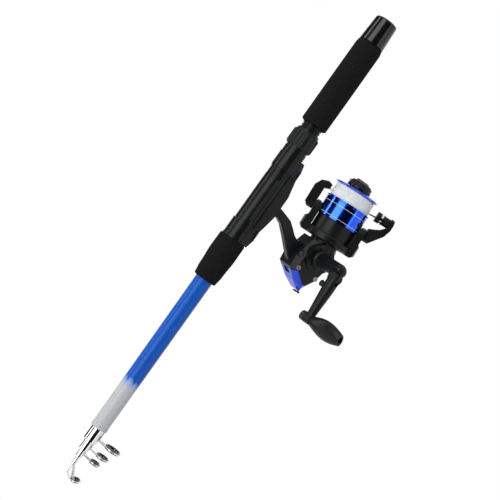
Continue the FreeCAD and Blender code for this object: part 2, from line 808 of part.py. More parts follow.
def reel_housing():
    """Foot, stem and gear case, open on the -Y side."""
    inside = case_form(sheet.case_inset)
    outer = case_form(0)
    under = case_form(sheet.cover_wall + sheet.seam)
    case = outer.cut(rear_zone()).fuse(under.common(rear_zone()))
    case = case.fuse(cylinder(sheet.collar_radius, 2, sheet.collar_front))
    case = case.common(block((-60, -sheet.cover_seat, -60), (60, 60, 60)))
    well = inside.fuse(cylinder(sheet.collar_radius - 1.3, 1, sheet.case_front))
    case = case.cut(well)
    mount = foot()
    mount.Placement = REEL.inverse()
    solid = case.fuse(stem().cut(well).fuse(mount))
    x, z = stud()
    gear = sheet.crosswind_module * (sheet.crosswind_teeth / 2 + 1) + 0.5
    start = sheet.crosswind_start
    solid = solid.cut(cylinder(gear, start - 0.5, start + sheet.crosswind_width + 0.5, "y", (x, z)))
    solid = solid.fuse(cylinder(2.0, sheet.crosswind_start + 0.3, sheet.case_half_width - 1.5, "y", (x, z)))
    pads = [cylinder(6.5, sheet.case_half_width - sheet.bushing_length - 0.4, sheet.case_half_width, "y", (0, sheet.axle_rise))]
    for px, pz, out in screw_places():
        pads.append(cylinder(2.8, -sheet.cover_seat, -sheet.cover_seat + 3.5, "y", (px, pz)))
    solid = solid.multiFuse(pads)
    drills = [
        cylinder(sheet.axle_radius + sheet.bushing_wall + sheet.glue_gap, -30, 30, "y", (0, sheet.axle_rise)),
        cylinder(sheet.bearing_radius + sheet.glue_gap, 12, 20),
        cylinder(sheet.lever_shaft_radius + sheet.running_gap, -60, 20, at=(-sheet.lever_side, 0)),
    ]
    for px, pz, out in screw_places():
        drills.append(cylinder(1.22, -30, -sheet.cover_seat + 3.2, "y", (px, pz)))
    for drill in drills:
        solid = solid.cut(drill)
    return solid.cut(rear_cover()).removeSplitter()


def side_cover():
    """The plate on the crank side, with the round boss and its ring of holes."""
    wide, rise = sheet.case_half_width, sheet.axle_rise
    rear = rear_zone()
    outer = case_form(0).cut(rear).fuse(case_form(sheet.cover_wall + sheet.seam).common(rear))
    plate = outer.common(block((-60, -60, -60), (60, -sheet.cover_seat - 0.05, 60)))
    plate = plate.cut(case_form(sheet.case_inset))
    boss = cylinder(sheet.boss_radius, -wide - sheet.boss_height, -sheet.cover_seat - 0.05, "y", (0, rise))
    trim = cylinder(sheet.boss_radius - 4, -wide + 0.6, 0, "y", (0, rise))
    solid = plate.fuse(boss.cut(trim)).cut(cylinder(4.2, -sheet.cover_seat - 3, 60, "y", (-4.7, 60)))
    solid = solid.fuse(cylinder(7.0, -wide - sheet.boss_height - 0.7, -wide, "y", (0, rise)))
    head = cylinder(3.3, -wide + 3.4, -sheet.cover_seat - 0.05, "y", (-4.7, 22.6))
    solid = solid.fuse(head)
    holes = [cylinder(sheet.axle_radius + sheet.bushing_wall + sheet.glue_gap, -40, 0, "y", (0, rise))]
    for i in range(int(sheet.boss_hole_count)):
        turn = 2 * math.pi * i / sheet.boss_hole_count
        at = (10.4 * math.cos(turn), rise + 10.4 * math.sin(turn))
        holes.append(cylinder(sheet.boss_hole_radius, -wide - 4, -wide - 0.8, "y", at))
    for px, pz, out in screw_places():
        holes.append(cylinder(1.3, -40, 0, "y", (px, pz)))
        holes.append(cylinder(sheet.screw_radius + 0.15, -40, -out + 0.8, "y", (px, pz)))
    holes.append(cylinder(sheet.lever_shaft_radius + sheet.running_gap, -60, 20, at=(-sheet.lever_side, 0)))
    for hole in holes:
        solid = solid.cut(hole)
    return solid.cut(rear_cover()).removeSplitter()


def rear_cover():
    """The blue shell around the rear of the case."""
    solid = case_form(0).common(rear_zone()).cut(case_form(sheet.cover_wall))
    solid = solid.cut(cylinder(sheet.lever_shaft_radius + 0.3, -60, 0, at=(-sheet.lever_side, 0)))
    solid = solid.cut(block((-26, -5.0, 15), (-10, 5.0, 30)))
    return max(solid.Solids, key=lambda s: s.Volume)


def cover_screws():
    """Three cross-headed screws."""
    screws = []
    for px, pz, out in screw_places():
        head = cylinder(sheet.screw_radius, -out + 0.8, -out + 0.8 - sheet.screw_head, "y", (px, pz))
        shank = cylinder(1.2, -out + 0.8, -sheet.cover_seat + 3, "y", (px, pz))
        front = -out + 0.8 - sheet.screw_head
        cross = block((px - 1.4, front - 1, pz - 0.3), (px + 1.4, front + 0.6, pz + 0.3))
        bar = block((px - 0.3, front - 1, pz - 1.4), (px + 0.3, front + 0.6, pz + 1.4))
        screws.append(head.fuse(shank).cut(cross).cut(bar))
    return Part.makeCompound(screws)


def spur(teeth, module, start, width, centre, offset):
    """A spur gear across Y, with straight-flanked teeth; offset is its first tooth's angle."""
    pitch = 2 * math.pi / teeth
    radius = module * teeth / 2
    points = []
    for i in range(int(teeth)):
        for reach, lead in ((-1.2, -0.29), (0.85, -0.10), (0.85, 0.10), (-1.2, 0.29)):
            turn = offset + (i + lead) * pitch
            far = radius + reach * module
            points.append((centre[0] + far * math.cos(turn), centre[1] + far * math.sin(turn)))
    return slab(points, start, start + width)


def drive_gear():
    """Axle, face gear and the small gear that turns the crosswind gear."""
    rise, radius = sheet.axle_rise, sheet.axle_radius
    face = -sheet.pinion_tip_radius - 0.15
    crest = -sheet.pinion_root_radius - 0.15
    solid = cylinder(radius, -sheet.case_half_width - 15, sheet.case_half_width + 0.2, "y", (0, rise))
    solid = solid.fuse(cylinder(sheet.drive_disc_radius, face - sheet.drive_disc_thickness, face, "y", (0, rise)))
    solid = solid.fuse(cylinder(radius + 0.6, -sheet.case_half_width + 1.2, face, "y", (0, rise)))
    near = math.sqrt(sheet.drive_ridge_inner**2 - rise**2)
    far = math.sqrt(sheet.drive_ridge_outer**2 - rise**2)
    ridge = slab([(face - 0.2, -0.4), (crest, -0.2), (crest, 0.2), (face - 0.2, 0.4)], near, far, "x")
    ridges = []
    for i in range(int(sheet.drive_teeth)):
        ridges.append(ridge.copy())
        ridges[-1].rotate(Vector(0, 0, rise), Vector(0, 1, 0), 360 * i / sheet.drive_teeth)
    x, z = stud()
    aim = math.atan2(z - rise, x)
    small = spur(sheet.axle_gear_teeth, sheet.crosswind_module, sheet.crosswind_start, sheet.crosswind_width, (0, rise), aim)
    tap = cylinder(1.25, sheet.case_half_width - 8, sheet.case_half_width + 1, "y", (0, rise))
    return solid.multiFuse(ridges + [small]).cut(tap)


def crosswind_gear():
    """The gear on the case's stud, with the pin that the traverse block follows."""
    x, z = stud()
    aim = math.atan2(sheet.axle_rise - z, -x) + math.pi / sheet.crosswind_teeth
    start, width = sheet.crosswind_start, sheet.crosswind_width
    solid = spur(sheet.crosswind_teeth, sheet.crosswind_module, start, width, (x, z), aim)
    solid = solid.cut(cylinder(2.0 + sheet.running_gap, start - 1, start + width + 1, "y", (x, z)))
    pin = cylinder(sheet.traverse_pin_radius, start - 0.3, start + 1, "y", (x + sheet.traverse_radius, z))
    return solid.fuse(pin)


def traverse_block():
    """The slotted block on the main shaft."""
    x, z = stud()
    centre, half = x + sheet.traverse_radius, sheet.block_length / 2
    reach = sheet.traverse_radius + sheet.traverse_pin_radius + 0.2
    solid = block((centre - half, -1.8, -4.2), (centre + half, 4.4, z + reach + 1.2))
    wide = sheet.traverse_pin_radius + 0.1
    solid = solid.cut(block((centre - wide, 2.4, max(z - reach, -3.4)), (centre + wide, 5, z + reach)))
    return solid.cut(cylinder(sheet.shaft_radius + sheet.glue_gap, centre - half - 1, centre + half + 1))


def pinion():
    """Eight teeth and the sleeve that carries the rotor."""
    teeth = int(sheet.pinion_teeth)
    root, tip = sheet.pinion_root_radius, sheet.pinion_tip_radius
    points = []
    for i in range(teeth):
        middle = math.pi + (i + 0.5) * 2 * math.pi / teeth
        for far, half in ((root, 0.40), (tip, 0.18)):
            points.append((far * math.cos(middle - half / far), far * math.sin(middle - half / far)))
        for far, half in ((tip, 0.18), (root, 0.40)):
            points.append((far * math.cos(middle + half / far), far * math.sin(middle + half / far)))
    end = sheet.case_front - 0.9
    solid = slab(points, 8.2, end, "x")
    solid = solid.fuse(cylinder(sheet.pinion_sleeve_radius, end, sheet.pinion_front))
    return solid.cut(cylinder(sheet.shaft_radius + sheet.running_gap, 0, 60))


def pinion_bearing():
    """Two races and the balls between them."""
    start = sheet.case_front + 0.1
    end = start + sheet.bearing_length
    inner, outer = sheet.pinion_sleeve_radius + sheet.running_gap, sheet.bearing_radius
    middle = (inner + outer) / 2
    ball = 0.75
    small = cylinder(middle - 0.35, start, end).cut(cylinder(inner, start - 1, end + 1))
    large = cylinder(outer, start, end).cut(cylinder(middle + 0.35, start - 1, end + 1))
    track = Part.makeTorus(middle, ball + 0.02, Vector((start + end) / 2, 0, 0), Vector(1, 0, 0))
    balls = []
    for i in range(int(sheet.ball_count)):
        turn = 2 * math.pi * i / sheet.ball_count
        at = Vector((start + end) / 2, middle * math.cos(turn), middle * math.sin(turn))
        balls.append(Part.makeSphere(ball, at))
    return Part.makeCompound([small.cut(track), large.cut(track)] + balls)


def ratchet_wheel():
    """Saw teeth on the pinion's sleeve, inside the rotor."""
    count = int(sheet.ratchet_teeth)
    points = []
    for i in range(count):
        turn = 2 * math.pi * i / count
        for far, lead in ((sheet.ratchet_radius, 0.0), (sheet.ratchet_radius - 0.9, 0.05)):
            points.append((far * math.cos(turn + lead), far * math.sin(turn + lead)))
    start = sheet.rotor_back + 0.4
    solid = slab(points, start, start + sheet.ratchet_length, "x")
    return solid.cut(cylinder(sheet.pinion_sleeve_radius + sheet.glue_gap, start - 1, start + 9))


def anti_reverse_shaft():
    """The shaft of the anti-reverse switch and the pawl at its front end."""
    start = sheet.rotor_back + 0.4
    side = -sheet.lever_side
    solid = cylinder(sheet.lever_shaft_radius, -sheet.case_rear - 1.8, start + sheet.ratchet_length, at=(side, 0))
    collar = cylinder(1.5, start, start + sheet.ratchet_length, at=(side, 0))
    tooth = slab([(side, -0.9), (-sheet.ratchet_radius - 0.35, 0.2), (side, 0.9)], start, start + sheet.ratchet_length, "x")
    return solid.fuse(collar).fuse(tooth)


def anti_reverse_lever():
    """The thumb lever at the rear of the case."""
    side, x = -sheet.lever_side, -sheet.case_rear
    solid = cylinder(2.3, x - 2.0, x - 0.4, at=(side, 0))
    solid = solid.fuse(slab([(side - 1.2, 0), (side + 1.2, 0), (side + 1.0, 4.6), (side - 1.0, 4.6)], x - 2.0, x - 0.4, "x"))
    return solid.cut(cylinder(sheet.lever_shaft_radius + sheet.glue_gap, x - 9, x + 5, at=(side, 0)))


made("reel_housing", reel_housing(), REEL)
made("side_cover", side_cover(), REEL)
made("rear_cover", rear_cover(), REEL)
made("cover_screws", cover_screws(), REEL)
bush_far = sheet.case_half_width
bush_near = -sheet.case_half_width - sheet.boss_height - 0.5
bushes = []
for bush_start in (bush_far - sheet.bushing_length - 0.2, bush_near):
    ring = cylinder(sheet.axle_radius + sheet.bushing_wall, bush_start, bush_start + sheet.bushing_length, "y", (0, sheet.axle_rise))
    bushes.append(ring.cut(cylinder(sheet.axle_radius + sheet.running_gap, -60, 60, "y", (0, sheet.axle_rise))))
made("gear_bushings", Part.makeCompound(bushes), REEL)
made("pinion_bearing", pinion_bearing(), REEL)
made("drive_gear", drive_gear(), REEL)
made("crosswind_gear", crosswind_gear(), REEL)
made("traverse_block", traverse_block(), REEL)
made("pinion", pinion(), REEL)
made("ratchet_wheel", ratchet_wheel(), ROTOR)
made("anti_reverse_shaft", anti_reverse_shaft(), REEL)
made("anti_reverse_lever", anti_reverse_lever(), REEL)
turned(
    "main_shaft",
    [("-shaft_rear", "0"), ("-shaft_rear", "shaft_radius"), ("shaft_front", "shaft_radius"), ("shaft_front", "0")],
    frame=REEL,
)


def rotor():
    """Base disc, cup, hub and the two arms."""
    back, disc = sheet.rotor_back, sheet.rotor_disc_front
    outer, inner, lug = sheet.arm_outer_radius, sheet.arm_inner_radius, sheet.arm_lug_radius
    half = sheet.arm_half_width
    radius = sheet.rotor_radius
    solid = lathe([(back, 0), (back, radius - 2), (back + 1.2, radius), (disc - 1, radius), (disc, radius - 1), (disc, 0)])
    solid = solid.fuse(cylinder(sheet.cup_radius, disc - 1, sheet.cup_front))
    for sign in (-1, 1):
        side = slab(
            [
                (back, sign * 14), (back, sign * (outer - 3.5)), (back + 3, sign * outer),
                (sheet.arm_shoulder, sign * outer), (sheet.arm_shoulder + 2.2, sign * lug),
                (sheet.arm_front - 1, sign * lug), (sheet.arm_front, sign * (lug - 1)),
                (sheet.arm_front, sign * 14),
            ],
            -half,
            half,
        )
        plan = slab(
            [
                (back, -half), (sheet.arm_front - 6, -half), (sheet.arm_front - 1.5, -half * 0.72),
                (sheet.arm_front, -half * 0.4), (sheet.arm_front, half * 0.4),
                (sheet.arm_front - 1.5, half * 0.72), (sheet.arm_front - 6, half), (back, half),
            ],
            -60,
            60,
            "z",
        )
        round_off = cylinder(outer + 0.6, back - 1, sheet.arm_front + 1)
        hollow = cylinder(inner, disc + 0.4, sheet.arm_front + 1)
        solid = solid.fuse(side.common(plan).common(round_off).cut(hollow))
    recess = cylinder(sheet.cup_inner_radius, back - 1, sheet.cup_front - sheet.cup_wall)
    recess = recess.cut(cylinder(sheet.rotor_hub_radius, back + sheet.ratchet_length + 0.8, 60))
    solid = solid.cut(recess).cut(cylinder(sheet.pinion_sleeve_radius + sheet.glue_gap, 0, 60))
    return solid.cut(cylinder(sheet.pivot_radius + sheet.glue_gap, -40, 40, "z", (sheet.pivot_reach, 0))).removeSplitter()


def bail_path(radius):
    """The bail's wire: two straight legs and half an ellipse past the spool's front, of this wire radius."""
    reach = sheet.pivot_reach + sheet.bail_reach
    span, leg = Vector(0, 0, sheet.bail_half_span), Vector(0, sheet.bail_leg, 0)
    foot = Vector(reach, 0, -1.5)
    centre = foot + leg
    rise = sheet.bail_height - sheet.bail_leg
    curve = Part.Ellipse(centre + span, centre + Vector(0, rise, 0), centre)
    if curve.value(math.pi / 2).y < centre.y:
        arc = Part.Arc(curve, -math.pi, 0).toShape()
    else:
        arc = Part.Arc(curve, 0, math.pi).toShape()
    legs = [Part.makeLine(foot + side, centre + side) for side in (span, span * -1)]
    path = Part.Wire(Part.__sortEdges__([legs[0], arc, legs[1]]))
    profile = Part.Wire(Part.makeCircle(radius, foot + span, Vector(0, 1, 0)))
    return path.makePipeShell([profile], True, False)


def pivot_drill(sign):
    """What a bail arm loses to its pivot screw: the running bore and the pocket of the head."""
    bore = cylinder(sheet.pivot_radius + sheet.running_gap, 0, sign * 60, "z", (sheet.pivot_reach, 0))
    return bore.fuse(cylinder(3.5, sign * 32.4, sign * 60, "z", (sheet.pivot_reach, 0)))


def bail_plan(end):
    """The outline of a bail arm seen along its pivot, rounded behind the pivot and narrower in front."""
    x = sheet.pivot_reach
    return slab(
        [
            (x - 6.4, -2.6), (x - 4.6, -5.0), (x - 1, -6.4), (x + 8, -6.4), (end - 2, -4.2), (end, -2.0),
            (end, 2.0), (end - 2, 4.2), (x + 8, 6.4), (x - 1, 6.4), (x - 4.6, 5.0), (x - 6.4, 2.6),
        ],
        -60,
        60,
        "z",
    )


def bail_holder():
    """The arm that holds the wire's far end, with its oval slot."""
    base = sheet.arm_lug_radius + sheet.pivot_gap
    solid = slab(
        [(34, base), (34, 32), (39, 36.6), (57, 37), (63.4, 33.6), (66, 27), (64.5, 22.6), (60, 22.6), (58, base)],
        -10,
        10,
    ).common(bail_plan(66.5))
    slot = block((50, -1.9, 31.5), (58, 1.9, 60))
    for x in (50, 58):
        slot = slot.fuse(cylinder(1.9, 31.5, 60, "z", (x, 0)))
    return solid.cut(slot).cut(pivot_drill(1)).cut(bail_path(sheet.bail_wire_radius + sheet.glue_gap))


def roller_arm():
    """The flared arm over the line roller."""
    base = sheet.arm_lug_radius + sheet.pivot_gap
    top = sheet.roller_outer + sheet.roller_boss_length
    solid = slab(
        [
            (34, -base), (34, -31.5), (36, -33.8), (41, -37.2), (49.3, -43.2), (57, -45.6), (66.5, -45.2), (67.5, -43),
            (67.5, -top), (58, -top), (53.5, -37.6), (50, -31.5), (48.4, -base),
        ],
        -10,
        10,
    ).common(bail_plan(67.5))
    x = sheet.pivot_reach + sheet.bail_reach
    solid = solid.fuse(cylinder(sheet.roller_boss_radius, -sheet.roller_outer - 0.15, -top - 0.5, "z", (x, 0)))
    solid = solid.cut(pivot_drill(-1)).cut(cylinder(4.0, -base + 1, -base - 2.6, "z", (sheet.pivot_reach, 0)))
    solid = solid.cut(cylinder(sheet.roller_pin_radius + sheet.glue_gap, -60, -20, "z", (x, 0)))
    return solid.cut(cylinder(3.1, -60, -44.2, "z", (x, 0)))


def bail_wire():
    """The wire and the eye at its end that closes on the roller's screw."""
    x = sheet.pivot_reach + sheet.bail_reach
    eye = cylinder(sheet.roller_radius, -sheet.roller_inner + 0.15, -sheet.roller_inner + 3.6, "z", (x, 0))
    solid = bail_path(sheet.bail_wire_radius).fuse(eye)
    return solid.cut(cylinder(sheet.roller_pin_radius + sheet.glue_gap, -60, -28.6, "z", (x, 0)))


def line_roller():
    """The grooved roller on its screw, turned about X and stood on the screw's axis."""
    inner, outer, radius = sheet.roller_inner, sheet.roller_outer, sheet.roller_radius
    bore = sheet.roller_pin_radius + sheet.running_gap
    middle = (inner + outer) / 2
    solid = lathe(
        [
            (inner, bore), (inner, radius), (inner + 1, radius), (middle - 0.8, radius - 0.8),
            (middle + 0.8, radius - 0.8), (outer - 1, radius), (outer, radius), (outer, bore),
        ]
    )
    solid.rotate(Vector(), Vector(0, 1, 0), 90)
    solid.translate(Vector(sheet.pivot_reach + sheet.bail_reach, 0, 0))
    return solid


def pivot_screws():
    """Two screws that the bail turns on."""
    screws = []
    for sign in (-1, 1):
        at = (sheet.pivot_reach, 0)
        shank = cylinder(sheet.pivot_radius, sign * (sheet.arm_inner_radius + 0.4), sign * 33, "z", at)
        head = cylinder(3.1, sign * 32.7, sign * 34.2, "z", at)
        groove = block((at[0] - 2.4, -0.35, min(sign * 33.6, sign * 35)), (at[0] + 2.4, 0.35, max(sign * 33.6, sign * 35)))
        screws.append(shank.fuse(head).cut(groove))
    return Part.makeCompound(screws)


def bail_spring():
    """Two coils about the roller side's pivot screw."""
    base = sheet.arm_lug_radius + sheet.pivot_gap
    coils = [
        Part.makeTorus(2.9, 0.45, Vector(sheet.pivot_reach, 0, -base - step), Vector(0, 0, 1))
        for step in (0.5, 1.2, 1.9)
    ]
    return coils[0].multiFuse(coils[1:])


def roller_screw():
    """The screw through the roller, its head sunk in the arm."""
    x = sheet.pivot_reach + sheet.bail_reach
    solid = cylinder(sheet.roller_pin_radius, -28.8, -44.4, "z", (x, 0)).fuse(cylinder(2.8, -44.3, -45.9, "z", (x, 0)))
    return solid.cut(block((x - 2, -0.35, -46.2), (x + 2, 0.35, -45.2)))


def rotor_nut():
    """A hexagonal nut in front of the cup."""
    points = [
        (sheet.rotor_nut_radius * math.cos(math.pi * i / 3), sheet.rotor_nut_radius * math.sin(math.pi * i / 3))
        for i in range(6)
    ]
    start = sheet.cup_front + 0.02
    solid = slab(points, start, start + sheet.rotor_nut_length, "x")
    return solid.cut(cylinder(sheet.pinion_sleeve_radius + sheet.glue_gap, 30, 60))


made("rotor", rotor(), ROTOR)
made("rotor_nut", rotor_nut(), ROTOR)
made("bail_pivot_screws", pivot_screws(), ROTOR)
made("bail_spring", bail_spring(), ROTOR)
made("bail_holder", bail_holder(), ROTOR)
made("roller_arm", roller_arm(), ROTOR)
made("bail_wire", bail_wire(), ROTOR)
made("roller_screw", roller_screw(), ROTOR)
made("line_roller", line_roller(), ROTOR)

# Spool, its winding and the drag
SPOOL_BORE = "shaft_radius + running_gap"
WINDING_REAR = "web_rear + web_thickness"
turned(
    "spool",
    [
        ("skirt_rear", "skirt_radius - skirt_wall"),
        ("skirt_rear", "skirt_radius - 0.3"),
        ("skirt_rear + 0.4", "skirt_radius + 0.1"),
        ("skirt_rear + 2.2", "skirt_radius + 0.1"),
        ("skirt_rear + 2.6", "skirt_radius"),
        (f"{WINDING_REAR} - 1.6", "skirt_radius"),
        (f"{WINDING_REAR} - 1.2", "skirt_radius + 0.5"),
        (WINDING_REAR, "skirt_radius + 0.4"),
        (WINDING_REAR, "spool_core_radius"),
        ("lip_rear", "spool_core_radius"),
        ("lip_rear", "winding_radius"),
        ("lip_rear + 0.6", "lip_radius - 0.5"),
        ("lip_rear + 1.3", "lip_radius"),
        ("lip_front - 0.6", "lip_radius - 0.4"),
        ("lip_front", "lip_radius - 2.4"),
        ("lip_front", "knob_radius + 1.8"),
        ("lip_front - 1.0", "knob_radius + 1.2"),
        ("lip_front - 1.0", "chamber_radius"),
        ("chamber_rear", "chamber_radius"),
        ("chamber_rear", SPOOL_BORE),
        ("web_rear", SPOOL_BORE),
        ("web_rear", "skirt_radius - skirt_wall"),
    ],
    frame=REEL,
)
turned(
    "line_winding",
    [
        (f"{WINDING_REAR} + 0.05", "spool_core_radius + glue_gap"),
        (f"{WINDING_REAR} + 0.05", "winding_radius - 0.9"),
        (f"{WINDING_REAR} + 3", "winding_radius"),
        ("lip_rear - 3", "winding_radius"),
        ("lip_rear - 0.05", "winding_radius - 0.7"),
        ("lip_rear - 0.05", "spool_core_radius + glue_gap"),
    ],
    frame=REEL,
)


def line_clip():
    """The clip on the skirt that holds the line's end."""
    x, radius = (sheet.skirt_rear + sheet.web_rear) / 2, sheet.skirt_radius
    solid = cylinder(2.2, radius - 0.25, radius + 1.2, "z", (x, 0))
    solid = solid.cut(cylinder(radius + 0.02, x - 5, x + 5))
    solid = solid.cut(cylinder(radius + 0.8, x - 5, x + 0.6).cut(cylinder(radius + 0.45, x - 6, x + 1)))
    solid.rotate(Vector(), Vector(1, 0, 0), 118)
    return solid


def drag_knob():
    """The drag's knob: a ribbed rim, a nose in the chamber and a threaded blind bore."""
    rear, front, radius = sheet.knob_rear, sheet.knob_front, sheet.knob_radius
    nose = sheet.chamber_rear + sheet.washer_stack + 2.6
    solid = lathe(
        [
            (nose, 0), (nose, 5.4), (rear, 5.4), (rear, radius - 0.6), (rear + 0.6, radius),
            (rear + 2.6, radius), (front - 2.4, radius - 1.3), (front - 0.8, radius - 2.2), (front, radius - 4.5), (front, 0),
        ]
    )
    ribs = []
    for i in range(int(sheet.knob_rib_count)):
        turn = 2 * math.pi * i / sheet.knob_rib_count
        reach = radius - 1.5
        ribs.append(cylinder(1.1, rear + 1.2, front - 2.2, at=(reach * math.sin(turn), reach * math.cos(turn))))
    solid = solid.multiFuse(ribs)
    bar = block((front - 1.6, -1.3, -6.5), (front + 1.4, 1.3, 6.5))
    solid = solid.fuse(bar)
    return solid.cut(cylinder(sheet.shaft_radius + sheet.running_gap, 0, sheet.shaft_front + 0.6))


made("line_clip", line_clip(), REEL)
turned(
    "drag_washers",
    [
        ("chamber_rear + 0.05", SPOOL_BORE),
        ("chamber_rear + 0.05", "chamber_radius - 0.15"),
        ("chamber_rear + washer_stack * 0.32", "chamber_radius - 0.15"),
        ("chamber_rear + washer_stack * 0.32", "chamber_radius - 0.8"),
        ("chamber_rear + washer_stack * 0.64", "chamber_radius - 0.8"),
        ("chamber_rear + washer_stack * 0.64", "chamber_radius - 0.15"),
        ("chamber_rear + washer_stack", "chamber_radius - 0.15"),
        ("chamber_rear + washer_stack", SPOOL_BORE),
    ],
    frame=REEL,
)
turned(
    "drag_spring",
    [
        ("chamber_rear + washer_stack + 0.1", "5.0"),
        ("chamber_rear + washer_stack + 0.1", "6.2"),
        ("chamber_rear + washer_stack + 0.6", "6.2"),
        ("chamber_rear + washer_stack + 2.4", "2.6"),
        ("chamber_rear + washer_stack + 2.4", SPOOL_BORE),
        ("chamber_rear + washer_stack + 1.9", SPOOL_BORE),
    ],
    frame=REEL,
)
made("drag_knob", drag_knob(), REEL)


def crank_shank():
    """The shank on the axle, with the tongue of the folding joint at its elbow."""
    rise, radius = sheet.axle_rise, sheet.shank_radius
    start, out = sheet.shank_start, sheet.elbow_out
    solid = lathe([(start, 0), (start, 9), (start + 2.2, 9), (start + 3.4, radius + 0.8), (start + 12, radius), (out, radius), (out, 0)])
    solid.rotate(Vector(), Vector(0, 0, 1), -90)
    solid.translate(Vector(0, 0, rise))
    solid = solid.fuse(Part.makeSphere(radius, Vector(0, -out, rise)))
    pin = (-sheet.fold_back, 0)
    half = sheet.tongue_thickness / 2
    swing = cylinder(sheet.tongue_radius + 2.2, -20, 20, "z", pin)
    tongue = cylinder(sheet.tongue_radius, -half, half, "z", pin).fuse(block((pin[0], -sheet.tongue_radius, -half), (0, sheet.tongue_radius, half)))
    hole = cylinder(sheet.fold_pin_radius + sheet.running_gap, -20, 20, "z", pin)
    turn = Placement(Vector(0, -out, rise), Rotation(Vector(1, 0, 0), sheet.crank_lean))
    for thing in (swing, tongue, hole):
        thing.Placement = turn * thing.Placement
    solid = solid.cut(swing).fuse(tongue).cut(hole)
    bore = cylinder(sheet.axle_radius + sheet.glue_gap, -sheet.case_half_width - 15.3, 0, "y", (0, rise))
    return solid.cut(bore)


def crank_arm():
    """The arm: a fork on the shank's tongue, a tapered bar and the eye of the knob's spindle."""
    pin, end = -sheet.fold_back, -sheet.crank_length
    thick, root, tip = sheet.arm_thickness / 2, sheet.arm_root_width / 2, sheet.arm_end_width / 2
    wires = []
    for x, wide, high in ((pin - 1, root, thick * 1.15), (pin - 13, root * 0.96, thick * 1.1), (end + 3, tip, tip * 0.95)):
        centre = Vector(x, 0, 0)
        curve = Part.Ellipse(centre + Vector(0, wide, 0), centre + Vector(0, 0, high), centre)
        wires.append(Part.Wire(curve.toShape()))
    solid = Part.makeLoft(wires, True, True)
    fork = lathe([(-thick, 0), (-thick, root - 1.6), (1.6 - thick, root), (thick - 1.6, root), (thick, root - 1.6), (thick, 0)])
    fork.rotate(Vector(), Vector(0, 1, 0), 90)
    fork.translate(Vector(pin, 0, 0))
    eye = cylinder(tip + 0.8, -tip, tip, "y", (end, 0)).fuse(block((end, -tip, -tip * 0.9), (end + 5, tip, tip * 0.9)))
    solid = solid.fuse(fork).fuse(eye)
    gap = sheet.tongue_thickness / 2 + sheet.prong_gap
    solid = solid.cut(block((pin - sheet.tongue_radius - 0.5, -20, -gap), (20, 20, gap)))
    solid = solid.cut(cylinder(sheet.fold_pin_radius + sheet.glue_gap, -20, 20, "z", (pin, 0)))
    solid = solid.cut(cylinder(sheet.spindle_radius + sheet.glue_gap, -20, 20, "y", (end, 0)))
    for side in (-1, 1):
        solid = solid.cut(cylinder(sheet.spindle_head_radius + 0.4, side * tip, side * 20, "y", (end, 0)))
    solid = solid.cut(cylinder(2.4 + sheet.running_gap, root * 0.92 - 3.2, 20, "y", (pin - 10, 0)))
    return solid.removeSplitter()


def fold_button():
    """The button on the inner side of the arm that frees the fold."""
    x, root = -sheet.fold_back - 10, sheet.arm_root_width / 2
    stalk = cylinder(2.4, root * 0.92 - 1.4, root + 0.8, "y", (x, 0))
    cap = cylinder(3.0, root + 2.0, root + 3.6, "y", (x, 0)).fuse(
        Part.makeCone(2.4, 3.0, 1.2, Vector(x, root + 0.8, 0), Vector(0, 1, 0))
    )
    return stalk.fuse(cap)


def crank_knob():
    """The paddle: elliptical sections, three dimples on its face and an open end."""
    start = -sheet.arm_end_width / 2 - sheet.handle_gap
    length, wide, thick = sheet.handle_length, sheet.handle_width / 2, sheet.handle_thickness / 2
    wires = []
    for share, across, deep in ((0, 0.52, 0.82), (0.14, 0.72, 0.96), (0.45, 1.0, 1.0), (0.78, 0.88, 0.9), (1.0, 0.6, 0.72)):
        centre = Vector(-sheet.crank_length, start - share * length, 0)
        curve = Part.Ellipse(centre + Vector(wide * across, 0, 0), centre + Vector(0, 0, thick * deep), centre)
        wires.append(Part.Wire(curve.toShape()))
    solid = Part.makeLoft(wires, True, False)
    x, end = -sheet.crank_length, start - length
    solid = solid.cut(cylinder(sheet.spindle_radius + sheet.running_gap, end - 1, 0, "y", (x, 0)))
    solid = solid.cut(cylinder(2.9, end - 1, end + 3.7, "y", (x, 0)))
    for i in range(3):
        at = Vector(x - 1.2, start - length * (0.3 + 0.16 * i), thick + 0.5)
        solid = solid.cut(Part.makeSphere(1.3, at))
    solid.rotate(Vector(x, 0, 0), Vector(0, 1, 0), -sheet.handle_turn)
    return solid


def knob_spindle():
    """The knob's spindle, riveted in the arm, with its round head behind."""
    x, half = -sheet.crank_length, sheet.arm_end_width / 2
    end = -half - sheet.handle_gap - sheet.handle_length + 3.4
    solid = cylinder(sheet.spindle_radius, end, half + 0.5, "y", (x, 0))
    head = cylinder(sheet.spindle_head_radius, half + 0.02, half + sheet.spindle_head_length, "y", (x, 0))
    collar = cylinder(sheet.spindle_radius + 1.6, -half - sheet.handle_gap + 0.1, -half - 0.02, "y", (x, 0))
    tail = cylinder(2.6, end - 0.8, end, "y", (x, 0))
    return solid.fuse(head).fuse(collar).fuse(tail)


def handle_screw_cap():
    """The cap on the far side whose screw draws the axle home."""
    wide, rise = sheet.case_half_width, sheet.axle_rise
    solid = lathe([(wide + 0.5, 0), (wide + 0.5, sheet.cap_screw_radius), (wide + 3, sheet.cap_screw_radius), (wide + 4, sheet.cap_screw_radius - 1.4), (wide + 4, 0)])
    solid.rotate(Vector(), Vector(0, 0, 1), 90)
    solid.translate(Vector(0, 0, rise))
    solid = solid.fuse(cylinder(1.2, wide - 7, wide + 1, "y", (0, rise)))
    return solid.cut(block((-4.4, wide + 3.2, rise - 0.6), (4.4, wide + 6, rise + 0.6)))


